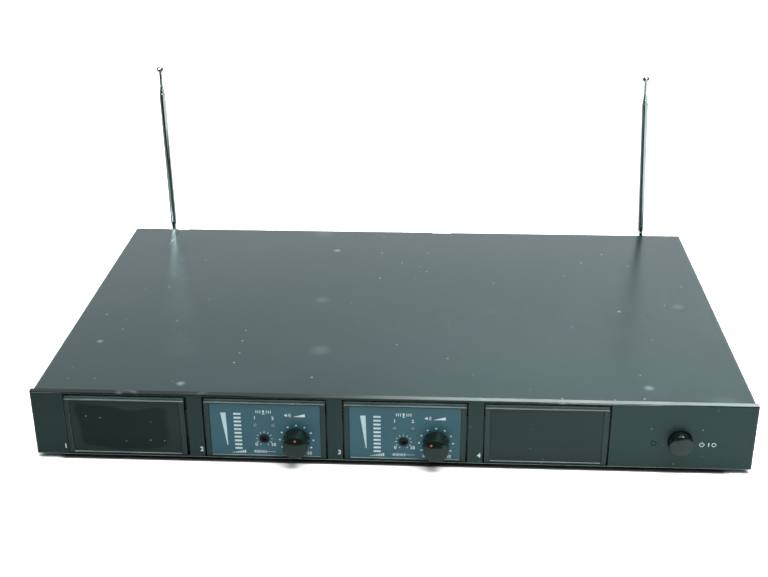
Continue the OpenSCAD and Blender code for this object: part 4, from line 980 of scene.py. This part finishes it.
for bay, pointer in ((2, 3), (3, -31)):
    axis = joint_at[f"volume_{bay}_turn"]
    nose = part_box(f"volume_knob_{bay}")[0].y
    shape = bmesh.new()
    rings = []
    for reach, lift in dot_rings:
        ring = []
        for k in range(dot_sides):
            angle = 2 * math.pi * k / dot_sides
            x = reach * math.cos(angle)
            z = dot_out + reach * math.sin(angle)
            sag = dome_curve - math.sqrt(dome_curve ** 2 - x * x - z * z)
            ring.append(shape.verts.new((x, nose + sag - lift - print_lift, z)))
        rings.append(ring)
    for outer, inner in zip(rings, rings[1:]):
        join_rings(shape, outer, inner)
    shape.faces.new(rings[-1])
    face_forward(shape)
    mesh = mesh_of_shape(f"pointer_dot_{bay}", shape)
    mesh.transform(Matrix.Translation((axis.x, 0, axis.z)) @ Matrix.Rotation(math.radians(pointer), 4, "Y"))
    mesh.shade_smooth()
    mesh.materials.append(pointer_red)
    fix_piece(f"pointer_dot_{bay}", mesh, f"volume_{bay}")


# Squelch adjusters: a black ring with a brown moulded centre that has a screwdriver slot. Each
# comes through a hole in the film and turns in its potentiometer.
centre_radius = 0.00187
centre_brown = (0.022, 0.018, 0.014)
ring_mask, given, result = surface_group(
    "round_the_axis", {"Axis": (0.0, 0.0, 0.0), "Radius": 0.002}, "Mask")
offset = vector_maths(ring_mask, "SUBTRACT", place_on(ring_mask), given["Axis"])
flat = vector_maths(ring_mask, "MULTIPLY", offset, (1.0, 0.0, 1.0))
reach = vector_maths(ring_mask, "LENGTH", flat)
feed(ring_mask, result, maths(ring_mask, "LESS_THAN", reach, given["Radius"]))
for bay in (2, 3):
    rotor_black = finish_material(
        f"rotor_black_{bay}", dark=(0.004, 0.009, 0.008), pale=(0.007, 0.013, 0.012), mottle=300.0,
        rough=(0.28, 0.42), bump=(3000, 0.15), Specular_Tint=teal_shine, Specular_IOR_Level=0.3)
    lay_over(rotor_black, centre_brown, ring_mask,
             {"Axis": joint_at[f"squelch_{bay}_turn"], "Radius": centre_radius})
    dress(rotor_black, f"squelch_rotor_{bay}")


# Power button: a plain round black cap with a domed front and a softened rim, pushed on the
# switch's stem.
button_black = finish_material(
    "button_black", dark=(0.005, 0.010, 0.009), pale=(0.008, 0.014, 0.012), mottle=120.0,
    rough=(0.10, 0.15), bump=(2600, 0.05),
    rubs=[{"Stretch": (200.0, 200.0, 200.0), "Width": 0.02, "Patches": 90.0, "Cover": 0.55,
           "colour": (0.12, 0.15, 0.14), "strength": 0.5}],
    Specular_Tint=teal_shine, Specular_IOR_Level=0.62)
button_round = 0.0006
eased_copy("power_button", button_round, "power_key", (button_black, button_black))


# Rear sockets: black mouldings and a black-plated three-pin socket with gold pins, the jack
# held by a nickel-plated nut, and black bushes under the antennas.
socket_black = finish_material(
    "socket_black", dark=(0.012, 0.012, 0.012), pale=(0.020, 0.020, 0.020), mottle=150.0,
    rough=(0.28, 0.36), bump=(2600, 0.12))
dress(socket_black, "dc_inlet", "mix_jack", "antenna_base_left", "antenna_base_right")
socket_plated = finish_material(
    "socket_plated", dark=(0.030, 0.031, 0.032), pale=(0.050, 0.051, 0.052), mottle=90.0,
    rough=(0.28, 0.38), bump=(2600, 0.2), Metallic=0.6)
dress(socket_plated, "xlr_socket")
nut_nickel = finish_material(
    "nut_nickel", dark=(0.58, 0.56, 0.52), pale=(0.70, 0.68, 0.64), mottle=200.0,
    rough=(0.12, 0.24), bump=(3500, 0.08), Metallic=1.0)
dress(nut_nickel, "jack_nut")
pin_gold = finish_material(
    "pin_gold", dark=(0.72, 0.50, 0.18), pale=(0.83, 0.62, 0.28), mottle=200.0,
    rough=(0.14, 0.24), bump=(3500, 0.08), Metallic=1.0)
dress(pin_gold, "xlr_pins")


# Antennas: bright plated tubes that slide into each other, on a plated root that turns on a
# pin in a plated fork.
antenna_chrome = finish_material(
    "antenna_chrome", dark=(0.42, 0.50, 0.50), pale=(0.52, 0.60, 0.60), mottle=45.0,
    rough=(0.05, 0.10), bump=(1800, 0.03), Metallic=1.0)
for side in ("left", "right"):
    for part in ("swivel", "pin", "root", "tube", "second", "third", "tip"):
        dress(antenna_chrome, f"antenna_{part}_{side}")
